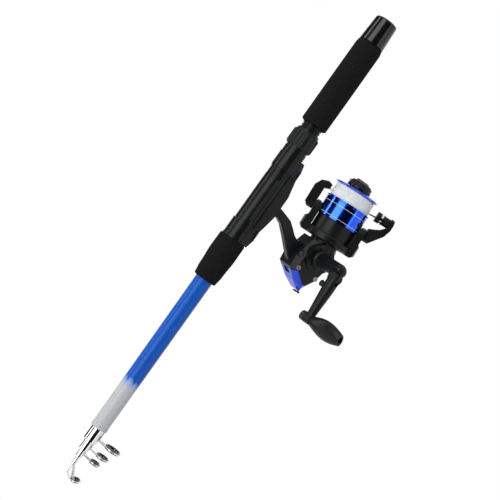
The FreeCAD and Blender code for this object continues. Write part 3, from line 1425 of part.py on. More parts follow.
made("crank_shank", crank_shank(), REEL)
made("handle_screw_cap", handle_screw_cap(), REEL)
made("crank_arm", crank_arm(), CRANK)
made("fold_pin", cylinder(sheet.fold_pin_radius, -sheet.arm_thickness / 2 + 0.1, sheet.arm_thickness / 2 - 0.1, "z", (-sheet.fold_back, 0)), CRANK)
made("fold_button", fold_button(), CRANK)
made("crank_knob", crank_knob(), CRANK)
made("knob_spindle", knob_spindle(), CRANK)

document.recompute()
for thing in document.Objects:
    if "Invalid" in thing.State or "Error" in thing.State:
        raise RuntimeError(f"{thing.Label}: {thing.State}")
for thing in NODES:
    if thing.Shape.isNull() or not thing.Shape.isValid():
        raise RuntimeError(f"{thing.Label}: its shape is null or not valid")
for thing in NODES:
    thing.Shape.exportStep(os.path.join("parts", thing.Label + ".step"))
print(len(NODES), "nodes")
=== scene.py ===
"""Studio scene of a telescopic fishing rod with a spinning reel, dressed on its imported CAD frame."""

import logging
import math
from dataclasses import dataclass, field
from enum import Enum
from typing import Protocol

import bmesh
import bpy
from mathutils import Matrix, Vector
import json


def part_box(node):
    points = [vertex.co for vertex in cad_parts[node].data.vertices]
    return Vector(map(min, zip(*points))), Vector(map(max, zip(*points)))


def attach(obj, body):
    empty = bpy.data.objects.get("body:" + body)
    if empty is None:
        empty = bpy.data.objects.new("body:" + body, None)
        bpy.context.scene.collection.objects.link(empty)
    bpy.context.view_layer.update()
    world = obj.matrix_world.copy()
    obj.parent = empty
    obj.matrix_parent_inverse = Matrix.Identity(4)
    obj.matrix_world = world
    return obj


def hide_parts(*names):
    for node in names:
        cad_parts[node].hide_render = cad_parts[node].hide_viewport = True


LOG = logging.getLogger("rod")
MM = 0.001


class Scale(Enum):
    """Sizes of surface patterns, in millimetres."""

    # Cells of ground EVA foam are 0.2 to 0.5 mm, drawn coarser so that they show
    FOAM_CELL = 0.9
    # Noise that spreads the foam's dents and the painted shade in its pores
    FOAM_PORE_NOISE = 0.5
    # Drift of sprayed lacquer and of tone in a winding
    MIST = 5.0
    # Spark-eroded grain of a mould is about 0.1 mm, drawn coarser so that it shows
    MOULD_GRAIN = 0.45
    # Waviness of a polished moulding
    ORANGE_PEEL = 2.2
    # Strands of the glass-fibre cloth
    FIBRE = 0.8
    # Marks of a turning tool are about 0.1 mm apart, drawn coarser so that they show
    TURNING = 0.35
    # Patches rubbed by fingers
    WEAR = 9.0


def linear(code: str) -> tuple[float, float, float, float]:
    """Turns an sRGB hex value to linear RGBA.

    Args:
        code: six hex digits with a leading #.

    Returns:
        The colour in scene-linear values, alpha 1.
    """
    parts = [int(code[i:i + 2], 16) / 255 for i in (1, 3, 5)]
    return (*[c / 12.92 if c <= 0.04045 else ((c + 0.055) / 1.055) ** 2.4 for c in parts], 1.0)


def add(
        tree: bpy.types.NodeTree, kind: str, inputs: dict | None = None,
        stops: tuple[tuple[float, tuple], ...] = (), **settings: object) -> bpy.types.Node:
    """Adds a node with its settings, values and links.

    Args:
        tree: the node tree.
        kind: the node's type name.
        inputs: value or output socket for each named or numbered input.
        stops: position and colour of each stop of a colour ramp.
        settings: attributes of the node.

    Returns:
        The new node.
    """
    node = tree.nodes.new(kind)
    for name, value in settings.items():
        setattr(node, name, value)
    for name, value in (inputs or {}).items():
        if isinstance(value, bpy.types.NodeSocket):
            tree.links.new(value, node.inputs[name])
        else:
            node.inputs[name].default_value = value
    for i, (position, colour) in enumerate(stops):
        band = node.color_ramp.elements
        stop = band[i] if i < len(band) else band.new(position)
        stop.position, stop.color = position, colour
    return node


class Finish(Protocol):
    """Anything that shades a surface."""

    def shade(self, tree: bpy.types.NodeTree) -> bpy.types.NodeSocket:
        """Adds its nodes to a tree and gives the shader socket."""


def bare_material(name: str) -> bpy.types.Material:
    """Makes a material with an empty node tree.

    Args:
        name: the material's name.

    Returns:
        The material.
    """
    material = bpy.data.materials.new(name)
    material.use_nodes = True
    material.node_tree.nodes.clear()
    return material


def dressed(name: str, finish: Finish) -> bpy.types.Material:
    """Makes a material of one finish.

    Args:
        name: the material's name.
        finish: what shades it.

    Returns:
        The material.
    """
    material = bare_material(name)
    add(material.node_tree, "ShaderNodeOutputMaterial", {0: finish.shade(material.node_tree)})
    return material


def grey(value: float) -> tuple[float, float, float, float]:
    """A plain grey level as a colour."""
    return value, value, value, 1.0


def scaled(colour: tuple[float, ...], factor: float) -> tuple[float, float, float, float]:
    """A colour made darker or lighter by a factor."""
    return colour[0] * factor, colour[1] * factor, colour[2] * factor, 1.0


def distance_along(tree: bpy.types.NodeTree, axis: Vector, origin: Vector) -> bpy.types.NodeSocket:
    """How far a surface point lies along an axis, in metres.

    Args:
        tree: the node tree.
        axis: a unit direction in the row frame.
        origin: the point that counts as zero.

    Returns:
        The value socket.
    """
    place = add(tree, "ShaderNodeTexCoord").outputs["Object"]
    dot = add(tree, "ShaderNodeVectorMath", {0: place, 1: axis}, operation="DOT_PRODUCT")
    start = axis.dot(origin)
    return add(tree, "ShaderNodeMath", {0: dot.outputs["Value"], 1: start}, operation="SUBTRACT").outputs[0]


@dataclass(frozen=True)
class MouldedPlastic:
    """Injection-moulded plastic: an even colour with a fine grain from the mould and soft scuffs."""

    colour: str
    roughness: float
    grain: float
    depth: float
    coat: float = 0.0
    specular: float = 0.5

    def shade(self, tree: bpy.types.NodeTree) -> bpy.types.NodeSocket:
        """Grain bumps the surface, and broad wear changes its gloss and tone.

        Args:
            tree: the material's node tree.

        Returns:
            The shader socket.
        """
        place = add(tree, "ShaderNodeTexCoord").outputs["Object"]
        wear = add(tree, "ShaderNodeTexNoise", {
            "Vector": place, "Scale": 1 / (Scale.WEAR.value * MM), "Detail": 4.0}).outputs["Fac"]
        gloss = add(tree, "ShaderNodeValToRGB", {0: wear}, stops=(
            (0.3, grey(self.roughness * 0.85)), (0.7, grey(self.roughness * 1.2)))).outputs[0]
        base = linear(self.colour)
        tint = add(tree, "ShaderNodeValToRGB", {0: wear}, stops=(
            (0.35, base), (0.75, scaled(base, 1.25)))).outputs[0]
        grain = add(tree, "ShaderNodeTexNoise", {
            "Vector": place, "Scale": 1 / (self.grain * MM), "Detail": 3.0}).outputs["Fac"]
        bump = add(tree, "ShaderNodeBump", {
            "Height": grain, "Distance": self.depth * MM, "Strength": 1.0}).outputs[0]
        return add(tree, "ShaderNodeBsdfPrincipled", {
            "Base Color": tint, "Roughness": gloss, "Normal": bump, "IOR": 1.5,
            "Specular IOR Level": self.specular, "Coat Weight": self.coat, "Coat Roughness": 0.08}).outputs[0]


@dataclass(frozen=True)
class EvaFoam:
    """Closed-cell EVA foam, ground round: dull charcoal with fine open pores that are painted darker as
    painted shade.
    """

    colour: str
    pore_shade_colour: str

    def shade(self, tree: bpy.types.NodeTree) -> bpy.types.NodeSocket:
        """Cells dent the surface, the same value paints them darker as painted shade in the pores, and it has
        almost no gloss.

        Args:
            tree: the material's node tree.

        Returns:
            The shader socket.
        """
        place = add(tree, "ShaderNodeTexCoord").outputs["Object"]
        cells = add(tree, "ShaderNodeTexVoronoi", {
            "Vector": place, "Scale": 1 / (Scale.FOAM_CELL.value * MM)})
        pore_noise = add(tree, "ShaderNodeTexNoise", {
            "Vector": place, "Scale": 1 / (Scale.FOAM_PORE_NOISE.value * MM), "Detail": 5.0, "Roughness": 0.7})
        both = add(tree, "ShaderNodeMath", {
            0: cells.outputs["Distance"], 1: pore_noise.outputs["Fac"]}, operation="MULTIPLY")
        # The pores are painted darker where the cells dent: painted shade, not the foam's own colour
        colour = add(tree, "ShaderNodeValToRGB", {0: both.outputs[0]}, stops=(
            (0.08, linear(self.colour)), (0.42, linear(self.pore_shade_colour)))).outputs[0]
        bump = add(tree, "ShaderNodeBump", {
            "Height": both.outputs[0], "Distance": 0.14 * MM, "Strength": 1.0}, invert=True)
        return add(tree, "ShaderNodeBsdfPrincipled", {
            "Base Color": colour, "Roughness": 0.95, "Normal": bump.outputs[0], "IOR": 1.45,
            "Specular IOR Level": 0.12}).outputs[0]


@dataclass(frozen=True)
class TubeLacquer:
    """Clear-coated blank: lacquer that fades to the bare fibre between two stations on X."""

    painted: str
    pale: str
    bare: str
    fade_start: float
    fade_end: float

    def shade(self, tree: bpy.types.NodeTree) -> bpy.types.NodeSocket:
        """The colour follows the tube's length in soft blotches, and fine fibre lines run along it.

        Args:
            tree: the material's node tree.

        Returns:
            The shader socket.
        """
        place = add(tree, "ShaderNodeTexCoord").outputs["Object"]
        split = add(tree, "ShaderNodeSeparateXYZ", {0: place})
        drawn = add(tree, "ShaderNodeMapping", {"Vector": place, "Scale": (0.35, 1.0, 1.0)})
        mist = add(tree, "ShaderNodeTexNoise", {
            "Vector": drawn.outputs[0], "Scale": 1 / (Scale.MIST.value * MM), "Detail": 3.0}).outputs["Fac"]
        shift = add(tree, "ShaderNodeMapRange", {
            "Value": mist, "From Min": 0.3, "From Max": 0.7, "To Min": -0.0022, "To Max": 0.0022})
        along = add(tree, "ShaderNodeMath", {0: split.outputs["X"], 1: shift.outputs[0]}, operation="ADD")
        share = add(tree, "ShaderNodeMapRange", {
            "Value": along.outputs[0], "From Min": self.fade_start, "From Max": self.fade_end})
        body = add(tree, "ShaderNodeValToRGB", {0: share.outputs[0]}, stops=(
            (0.0, linear(self.painted)), (0.5, linear(self.pale)), (1.0, linear(self.bare)))).outputs[0]
        stretch = add(tree, "ShaderNodeMapping", {"Vector": place, "Scale": (12.0, 1000.0, 1000.0)})
        fibre = add(tree, "ShaderNodeTexNoise", {
            "Vector": stretch.outputs[0], "Scale": 1 / Scale.FIBRE.value, "Detail": 2.0}).outputs["Fac"]
        tone = add(tree, "ShaderNodeValToRGB", {0: fibre}, stops=(
            (0.3, grey(0.98)), (0.7, grey(1.0)))).outputs[0]
        colour = add(
            tree, "ShaderNodeMix", {0: 1.0, 6: body, 7: tone}, data_type="RGBA", blend_type="MULTIPLY")
        bump = add(tree, "ShaderNodeBump", {
            "Height": fibre, "Distance": 0.0008 * MM, "Strength": 1.0}).outputs[0]
        return add(tree, "ShaderNodeBsdfPrincipled", {
            "Base Color": colour.outputs[2], "Roughness": 0.34, "Normal": bump, "IOR": 1.5,
            "Specular IOR Level": 0.12, "Coat Weight": 0.15, "Coat Roughness": 0.15}).outputs[0]


@dataclass(frozen=True)
class BrightMetal:
    """Plated, turned or drawn metal: fine tool lines about its axis and a broken gloss."""

    colour: str
    roughness: float
    lines: float
    coat: float = 0.0

    def shade(self, tree: bpy.types.NodeTree) -> bpy.types.NodeSocket:
        """Rings across X from turning, plus a haze that varies the gloss.

        Args:
            tree: the material's node tree.

        Returns:
            The shader socket.
        """
        place = add(tree, "ShaderNodeTexCoord").outputs["Object"]
        stretch = add(tree, "ShaderNodeMapping", {"Vector": place, "Scale": (1000.0, 60.0, 60.0)})
        rings = add(tree, "ShaderNodeTexNoise", {
            "Vector": stretch.outputs[0], "Scale": 1 / Scale.TURNING.value, "Detail": 2.0}).outputs["Fac"]
        haze = add(tree, "ShaderNodeTexNoise", {
            "Vector": place, "Scale": 1 / (Scale.WEAR.value * MM), "Detail": 4.0}).outputs["Fac"]
        gloss = add(tree, "ShaderNodeValToRGB", {0: haze}, stops=(
            (0.3, grey(self.roughness * 0.75)), (0.7, grey(self.roughness * 1.35)))).outputs[0]
        base = linear(self.colour)
        tint = add(tree, "ShaderNodeValToRGB", {0: rings}, stops=(
            (0.3, scaled(base, 0.9)), (0.7, base))).outputs[0]
        bump = add(tree, "ShaderNodeBump", {
            "Height": rings, "Distance": self.lines * MM, "Strength": 1.0}).outputs[0]
        return add(tree, "ShaderNodeBsdfPrincipled", {
            "Base Color": tint, "Roughness": gloss, "Normal": bump, "Metallic": 1.0,
            "Coat Weight": self.coat, "Coat Roughness": 0.04}).outputs[0]


@dataclass(frozen=True)
class NylonLine:
    """Clear nylon monofilament: milky white in the mass, with a soft gloss."""

    colour: str

    def shade(self, tree: bpy.types.NodeTree) -> bpy.types.NodeSocket:
        """Light scatters a little under the surface.

        Args:
            tree: the material's node tree.

        Returns:
            The shader socket.
        """
        place = add(tree, "ShaderNodeTexCoord").outputs["Object"]
        mist = add(tree, "ShaderNodeTexNoise", {
            "Vector": place, "Scale": 1 / (Scale.MIST.value * MM), "Detail": 3.0}).outputs["Fac"]
        base = linear(self.colour)
        tint = add(tree, "ShaderNodeValToRGB", {0: mist}, stops=(
            (0.3, scaled(base, 0.93)), (0.7, base))).outputs[0]
        return add(tree, "ShaderNodeBsdfPrincipled", {
            "Base Color": tint, "Roughness": 0.3, "IOR": 1.53, "Subsurface Weight": 0.2,
            "Subsurface Scale": 0.002}).outputs[0]


@dataclass(frozen=True)
class Bands:
    """One finish between stations along an axis, and another everywhere else."""

    inside: Finish
    outside: Finish
    edges: tuple[tuple[float, float], ...]
    axis: Vector
    origin: Vector

    def shade(self, tree: bpy.types.NodeTree) -> bpy.types.NodeSocket:
        """A sharp mask over the given stations mixes the two finishes.

        Args:
            tree: the material's node tree.

        Returns:
            The shader socket.
        """
        along = distance_along(tree, self.axis, self.origin)
        bands = [
            add(tree, "ShaderNodeMath", {
                0: along, 1: (low + high) / 2, 2: (high - low) / 2}, operation="COMPARE").outputs[0]
            for low, high in self.edges]
        mask = bands[0]
        for band in bands[1:]:
            mask = add(tree, "ShaderNodeMath", {0: mask, 1: band}, operation="MAXIMUM").outputs[0]
        return add(tree, "ShaderNodeMixShader", {
            0: mask, 1: self.outside.shade(tree), 2: self.inside.shade(tree)}).outputs[0]


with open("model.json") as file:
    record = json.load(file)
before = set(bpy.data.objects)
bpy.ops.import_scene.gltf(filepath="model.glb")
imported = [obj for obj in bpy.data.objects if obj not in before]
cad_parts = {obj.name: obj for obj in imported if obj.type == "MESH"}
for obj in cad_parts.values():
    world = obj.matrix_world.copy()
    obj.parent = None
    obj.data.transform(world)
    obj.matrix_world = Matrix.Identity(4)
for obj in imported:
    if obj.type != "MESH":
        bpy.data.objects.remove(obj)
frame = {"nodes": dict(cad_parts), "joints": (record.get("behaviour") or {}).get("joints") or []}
JOINTS = {joint["name"]: joint for joint in frame["joints"]}
REEL_AXIS = Vector(JOINTS["spool_drag"]["axis"]).normalized()
REEL_ORIGIN = Vector(JOINTS["rotor_spin"]["pos_m"])
PIVOT_AXIS = Vector(JOINTS["bail_flip"]["axis"]).normalized()
SPINDLE_AXIS = Vector(JOINTS["knob_spin"]["axis"]).normalized()
ROLLER_AXIS = Vector(JOINTS["line_roller_spin"]["axis"]).normalized()
ROLLER_PLACE = Vector(JOINTS["line_roller_spin"]["pos_m"])
SPINDLE_PLACE = Vector(JOINTS["knob_spin"]["pos_m"])
ALONG_ROD = Vector((-1.0, 0.0, 0.0))
ROD_ORIGIN = Vector((0.0, 0.0, 0.0))

# Stations in metres: along the rod from the butt, and along a joint's axis from a joint's place
COLLAR_LENGTH = 30 * MM
COLLAR_PAST_END = 1 * MM
# The blank is lacquered between these stations; nearer the butt it is painted black as painted shade inside
# the seat
LACQUERED = (0.26, 0.6)
LACQUER_FADE = (-0.394, -0.403)
SKIRT_LINES = ((0.0394, 0.03965), (0.0508, 0.05105))
BAIL_CONE = (0.0272, 0.05)
ROLLER_GROOVE = (-0.9 * MM, 0.9 * MM)
SPINDLE_HEAD = (0.0, 0.06)

GRAIN = Scale.MOULD_GRAIN.value
PEEL = Scale.ORANGE_PEEL.value
NYLON = MouldedPlastic("#131415", roughness=0.34, grain=GRAIN, depth=0.008, specular=0.17)
ABS = MouldedPlastic("#0d0d0e", roughness=0.2, grain=PEEL, depth=0.008, coat=0.2, specular=0.3)
CHROME = BrightMetal("#d9dbde", roughness=0.09, lines=0.001)
DRAWN_STEEL = BrightMetal("#b9bbbe", roughness=0.26, lines=0.003)
ALUMINIUM = BrightMetal("#1557ee", roughness=0.13, lines=0.001, coat=0.6)
BLUE_LACQUER = TubeLacquer("#0c53b5", "#8aa6d8", "#b8babd", *LACQUER_FADE)
BARE_FIBRE = TubeLacquer("#94989d", "#9a9da2", "#a6a9ad", fade_start=-0.2, fade_end=-0.5)
PRINTED_LINE = MouldedPlastic("#e8ecf4", roughness=0.35, grain=GRAIN, depth=0.002)


def collar(section: str) -> Bands:
    """The chrome collar at a section's open end, over its grey fibre.

    Args:
        section: the node of the tube.

    Returns:
        The finish of the whole tube.
    """
    end = -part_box(section)[0].x
    plated = (end - COLLAR_LENGTH, end + COLLAR_PAST_END)
    return Bands(CHROME, BARE_FIBRE, (plated,), ALONG_ROD, ROD_ORIGIN)


class Palette(Enum):
    """The finishes of the object's surfaces."""

    # Polished ABS: deep black that mirrors the lamps in long narrow lines
    POLISHED_ABS = ABS
    # Fine-grained glass-filled nylon: charcoal with wide soft highlights
    GLASS_FILLED_NYLON = NYLON
    # Moulded nylon of the seat: black with a clean, slightly blurred highlight
    SEAT_NYLON = MouldedPlastic("#101112", roughness=0.3, grain=GRAIN, depth=0.006, specular=0.2)
    # Coarser nylon of the ribbed nut: dull enough to keep the ribs readable
    COARSE_NYLON = MouldedPlastic("#131415", roughness=0.42, grain=GRAIN, depth=0.012, specular=0.22)
    # ABS of the parts that fingers turn: lightly rubbed, with a faint peel
    RUBBED_ABS = MouldedPlastic("#161515", roughness=0.3, grain=PEEL, depth=0.01, specular=0.2)
    # Blue ABS: strong colour under a thin gloss
    BLUE_ABS = MouldedPlastic("#0d41d2", roughness=0.24, grain=PEEL, depth=0.006, coat=0.15, specular=0.25)
    # Glazed ceramic rings: near black and very smooth
    GLAZED_CERAMIC = MouldedPlastic("#0a0a0b", roughness=0.14, grain=PEEL, depth=0.004, coat=0.3)
    # Nitrile rubber: flat dark grey with no highlight
    NITRILE_RUBBER = MouldedPlastic("#1c1c1c", roughness=0.75, grain=GRAIN, depth=0.03, specular=0.3)
    # Glass-fibre blank: blue lacquer that fades to bare grey fibre, and polished black nearer the butt as
    # painted shade where the tube shows in the seat's gaps
    LACQUERED_FIBRE_PAINTED_SHADE_IN_SEAT = Bands(BLUE_LACQUER, ABS, (LACQUERED,), ALONG_ROD, ROD_ORIGIN)
    # Chrome plate on drawn wire: white and black streaks along each bend
    CHROME_PLATE = CHROME
    # Drawn and ground steel: grey with a soft streak
    GROUND_STEEL = DRAWN_STEEL
    # Zinc-plated screws, dulled by handling
    ZINC_PLATED_STEEL = BrightMetal("#8a8c8f", roughness=0.36, lines=0.003)
    # Machined brass: warm, with fine tool lines
    MACHINED_BRASS = BrightMetal("#c9a560", roughness=0.3, lines=0.003)
    # Die-cast zinc: pale and slightly rough from the die
    DIE_CAST_ZINC = BrightMetal("#9fa1a4", roughness=0.45, lines=0.004)
    # Anodised aluminium: a deep blue mirror, with two printed white lines round the skirt
    ANODISED_ALUMINIUM = Bands(PRINTED_LINE, ALUMINIUM, SKIRT_LINES, REEL_AXIS, REEL_ORIGIN)
    # The wire is bare steel, and the cone at its end is black
    DRAWN_STEEL_WIRE = Bands(NYLON, DRAWN_STEEL, (BAIL_CONE,), PIVOT_AXIS, REEL_ORIGIN)
    # The roller's groove is chromed between two black rims
    CHROMED_ROLLER = Bands(CHROME, ABS, (ROLLER_GROOVE,), ROLLER_AXIS, ROLLER_PLACE)
    # The spindle's round head behind the arm is black, the rest bare steel
    STEEL_SPINDLE = Bands(ABS, DRAWN_STEEL, (SPINDLE_HEAD,), SPINDLE_AXIS, SPINDLE_PLACE)
    # Chromed collars on grey glass fibre, one for each section's own end
    CHROMED_FIBRE_4 = collar("section_4")
    CHROMED_FIBRE_3 = collar("section_3")
    CHROMED_FIBRE_2 = collar("section_2")
    CHROMED_FIBRE_TIP = collar("tip_section")


NODE_FINISH: dict[Palette, tuple[str, ...]] = {
    Palette.POLISHED_ABS: ("butt_cap", "line_clip"),
    Palette.COARSE_NYLON: ("lock_nut",),
    Palette.SEAT_NYLON: ("seat_barrel", "slide_hood", "fixed_hood"),
    Palette.GLASS_FILLED_NYLON: (
        "reel_housing", "side_cover", "rotor", "roller_arm", "bail_holder", "anti_reverse_lever",
        "crank_shank", "crank_arm", "fold_button", "handle_screw_cap", "fold_pin"),
    Palette.RUBBED_ABS: ("crank_knob", "drag_knob"),
    Palette.BLUE_ABS: ("rear_cover",),
    Palette.GLAZED_CERAMIC: ("guide_4_ring", "guide_3_ring", "guide_2_ring", "tip_top_ring"),
    Palette.NITRILE_RUBBER: ("cap_pad", "drag_washers"),
    Palette.LACQUERED_FIBRE_PAINTED_SHADE_IN_SEAT: ("butt_tube",),
    Palette.CHROMED_FIBRE_4: ("section_4",),
    Palette.CHROMED_FIBRE_3: ("section_3",),
    Palette.CHROMED_FIBRE_2: ("section_2",),
    Palette.CHROMED_FIBRE_TIP: ("tip_section",),
    Palette.CHROME_PLATE: ("guide_4_frame", "guide_3_frame", "guide_2_frame", "tip_top_frame"),
    Palette.CHROMED_ROLLER: ("line_roller",),
    Palette.DRAWN_STEEL_WIRE: ("bail_wire",),
    Palette.STEEL_SPINDLE: ("knob_spindle",),
    Palette.GROUND_STEEL: (
        "pinion_bearing", "rotor_nut", "ratchet_wheel", "bail_pivot_screws", "bail_spring",
        "roller_screw", "main_shaft", "drag_spring", "anti_reverse_shaft"),
    Palette.ZINC_PLATED_STEEL: ("cover_screws",),
    Palette.MACHINED_BRASS: ("pinion", "gear_bushings"),
    Palette.DIE_CAST_ZINC: ("drive_gear", "crosswind_gear", "traverse_block"),
    Palette.ANODISED_ALUMINIUM: ("spool",),
}

# Outside radius of each foam grip in metres, at shares of its length from the butt side
GRIP_STATIONS = {
    "rear_grip": ((0.0, 12.1 * MM), (0.06, 12.85 * MM), (0.5, 12.9 * MM), (1.0, 12.8 * MM)),
    "foregrip": ((0.0, 13.1 * MM), (0.35, 13.28 * MM), (0.75, 12.35 * MM), (1.0, 11.2 * MM)),
}


def new_piece(name: str, mesh: bpy.types.Mesh, material: bpy.types.Material) -> bpy.types.Object:
    """Makes an object of a finished mesh at the origin.

    Args:
        name: the piece's name.
        mesh: the mesh, in the row frame.
        material: its finish.

    Returns:
        The object, in the scene.
    """
    piece = bpy.data.objects.new(name, mesh)
    bpy.context.scene.collection.objects.link(piece)
    mesh.materials.clear()
    mesh.materials.append(material)
    return piece


def turned_mesh(
        name: str, profile: list[tuple[float, float]], place: Matrix, sides: int = 128) -> bpy.types.Mesh:
    """A closed solid of revolution about X.

    Args:
        name: the mesh's name.
        profile: closed outline of (along, radius), in metres.
        place: the frame it stands in.
        sides: how many faces go round.

    Returns:
        The mesh.
    """
    shape = bmesh.new()
    loops = []
    for i in range(sides):
        turn = 2 * math.pi * i / sides
        loops.append([
            shape.verts.new(place @ Vector((x, r * math.cos(turn), r * math.sin(turn)))) for x, r in profile])
    for i in range(sides):
        here, there = loops[i], loops[(i + 1) % sides]
        for j in range(len(profile)):
            k = (j + 1) % len(profile)
            shape.faces.new((here[j], there[j], there[k], here[k]))
    bmesh.ops.recalc_face_normals(shape, faces=shape.faces)
    mesh = bpy.data.meshes.new(name)
    shape.to_mesh(mesh)
    shape.free()
    for face in mesh.polygons:
        face.use_smooth = True
    return mesh


@dataclass
class FoamGrip:
    """A ground foam grip: softly rounded ends and a slightly uneven outside."""

    node: str
    stations: tuple[tuple[float, float], ...]
    edge: float = 1.3 * MM
    bore: float = 8.45 * MM
    rows: int = 90

    def radius_at(self, share: float) -> float:
        """The outside radius at a share of the length, eased between the stations.

        Args:
            share: 0 at the butt side, 1 at the tip side.

        Returns:
            The radius in metres.
        """
        for (start, first), (stop, last) in zip(self.stations, self.stations[1:]):
            if share <= stop:
                eased = (share - start) / (stop - start)
                eased = eased * eased * (3 - 2 * eased)
                return first + (last - first) * eased
        return self.stations[-1][1]

    def build(self, material: bpy.types.Material) -> bpy.types.Object:
        """Builds the grip over the CAD solid it stands for.

        Args:
            material: the foam's finish.

        Returns:
            The piece.
        """
        low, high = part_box(self.node)
        length = high[0] - low[0]
        outside = []
        for i in range(self.rows + 1):
            share = i / self.rows
            radius = self.radius_at(share)
            away = min(share, 1 - share) * length
            if away < self.edge:
                radius -= self.edge - math.sqrt(max(self.edge**2 - (self.edge - away) ** 2, 0.0))
            outside.append((high[0] - share * length, radius))
        profile = [(high[0], self.bore)] + outside + [(low[0], self.bore)]
        piece = new_piece(f"{self.node}_foam", turned_mesh(self.node, profile, Matrix()), material)
        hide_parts(self.node)
        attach(piece, "blank")
        return piece


@dataclass
class Winding:
    """The line on the spool: close turns over a full drum, with a few turns laid across."""

    # The line's radius is drawn coarse, so that single turns still show
    line: float = 0.21 * MM
    turns: float = 31.0
    crossing: float = 3.5
    bedding: float = 0.9
    sides: int = 6
    steps: int = 90
    width: float = 13.0 * MM
    radius: float = 20.05 * MM
    core: float = 9.6 * MM
    bevel_along: float = 0.6 * MM
    bevel_in: float = 0.5 * MM

    def frame(self) -> Matrix:
        """The spool's frame, with its origin on the axis and X along it.

        Returns:
            The frame as a matrix.
        """
        side = Vector((0, 1, 0))
        turn = Matrix((REEL_AXIS, side, REEL_AXIS.cross(side))).transposed().to_4x4()
        return Matrix.Translation(Vector(JOINTS["spool_drag"]["pos_m"])) @ turn

    def coil(
            self, tree: bpy.types.NodeTree, group_in: bpy.types.Node, turns: str, radius: str,
            flip: bool) -> bpy.types.NodeSocket:
        """One helix of line as a tube about Z.

        Args:
            tree: the Geometry Nodes tree.
            group_in: its input node.
            turns: name of the input that holds the number of turns.
            radius: name of the input that holds the coil's radius.
            flip: winds it the other way.

        Returns:
            The tube's geometry socket.
        """
        helix = add(tree, "GeometryNodeCurveSpiral", {
            "Resolution": self.steps, "Rotations": group_in.outputs[turns],
            "Start Radius": group_in.outputs[radius], "End Radius": group_in.outputs[radius],
            "Height": group_in.outputs["Width"], "Reverse": flip})
        ring = add(tree, "GeometryNodeCurvePrimitiveCircle", {
            "Resolution": self.sides, "Radius": group_in.outputs["Line"]}, mode="RADIUS")
        tube = add(tree, "GeometryNodeCurveToMesh", {
            "Curve": helix.outputs[0], "Profile Curve": ring.outputs[0], "Fill Caps": True})
        return add(tree, "GeometryNodeSetShadeSmooth", {0: tube.outputs[0]}).outputs[0]

    def turns_tree(self) -> bpy.types.NodeTree:
        """The Geometry Nodes tree of the turns, with an input for each size.

        Returns:
            The tree.
        """
        tree = bpy.data.node_groups.new("line_turns", "GeometryNodeTree")
        face = tree.interface
        face.new_socket("Geometry", in_out="OUTPUT", socket_type="NodeSocketGeometry")
        for name in ("Turns", "Crossing", "Radius", "Over", "Width", "Line"):
            face.new_socket(name, in_out="INPUT", socket_type="NodeSocketFloat")
        face.new_socket("Finish", in_out="INPUT", socket_type="NodeSocketMaterial")
        group_in, group_out = add(tree, "NodeGroupInput"), add(tree, "NodeGroupOutput")
        joined = add(tree, "GeometryNodeJoinGeometry")
        for turns, size, flip in (("Turns", "Radius", False), ("Crossing", "Over", True)):
            tree.links.new(self.coil(tree, group_in, turns, size, flip), joined.inputs[0])
        real = add(tree, "GeometryNodeRealizeInstances", {0: joined.outputs[0]})
        finished = add(tree, "GeometryNodeSetMaterial", {
            "Geometry": real.outputs[0], "Material": group_in.outputs["Finish"]})
        tree.links.new(finished.outputs[0], group_out.inputs[0])
        return tree

    def build(self, material: bpy.types.Material) -> bpy.types.Object:
        """Builds drum and turns inside the CAD winding.

        Args:
            material: the line's finish.

        Returns:
            The piece.
        """
        holder = bpy.data.objects.new("line_turns_maker", bpy.data.meshes.new("line_turns_maker"))
        bpy.context.scene.collection.objects.link(holder)
        modifier = holder.modifiers.new("turns", "NODES")
        modifier.node_group = self.turns_tree()
        values = {
            "Turns": self.turns, "Crossing": self.crossing, "Radius": self.radius,
            "Over": self.radius + self.line * self.bedding, "Width": self.width - 2 * self.line,
            "Line": self.line, "Finish": material}
        for item in modifier.node_group.interface.items_tree:
            if item.in_out == "INPUT":
                modifier[item.identifier] = values[item.name]
        evaluated = holder.evaluated_get(bpy.context.evaluated_depsgraph_get())
        shape = bmesh.new()
        shape.from_mesh(bpy.data.meshes.new_from_object(evaluated))
        place = self.frame()
        centre = place.inverted() @ Vector([(a + b) / 2 for a, b in zip(*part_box("line_winding"))])
        turn = Matrix.Rotation(math.radians(90), 4, "Y")
        shift = Matrix.Translation((centre.x - self.width / 2 + self.line, 0, 0))
        bmesh.ops.transform(shape, matrix=place @ shift @ turn, verts=shape.verts)
        low, high = centre.x - self.width / 2, centre.x + self.width / 2
        drum = turned_mesh("drum", [
            (low, self.core), (low, self.radius - self.bevel_in), (low + self.bevel_along, self.radius),
            (high - self.bevel_along, self.radius), (high, self.radius - self.bevel_in), (high, self.core)],
            place)
        shape.from_mesh(drum)
        mesh = bpy.data.meshes.new("line_turns")
        shape.to_mesh(mesh)
        shape.free()
        for polygon in mesh.polygons:
            polygon.use_smooth = True
        bpy.data.objects.remove(holder)
        piece = new_piece("line_turns", mesh, material)
        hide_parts("line_winding")
        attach(piece, "spool")
        return piece


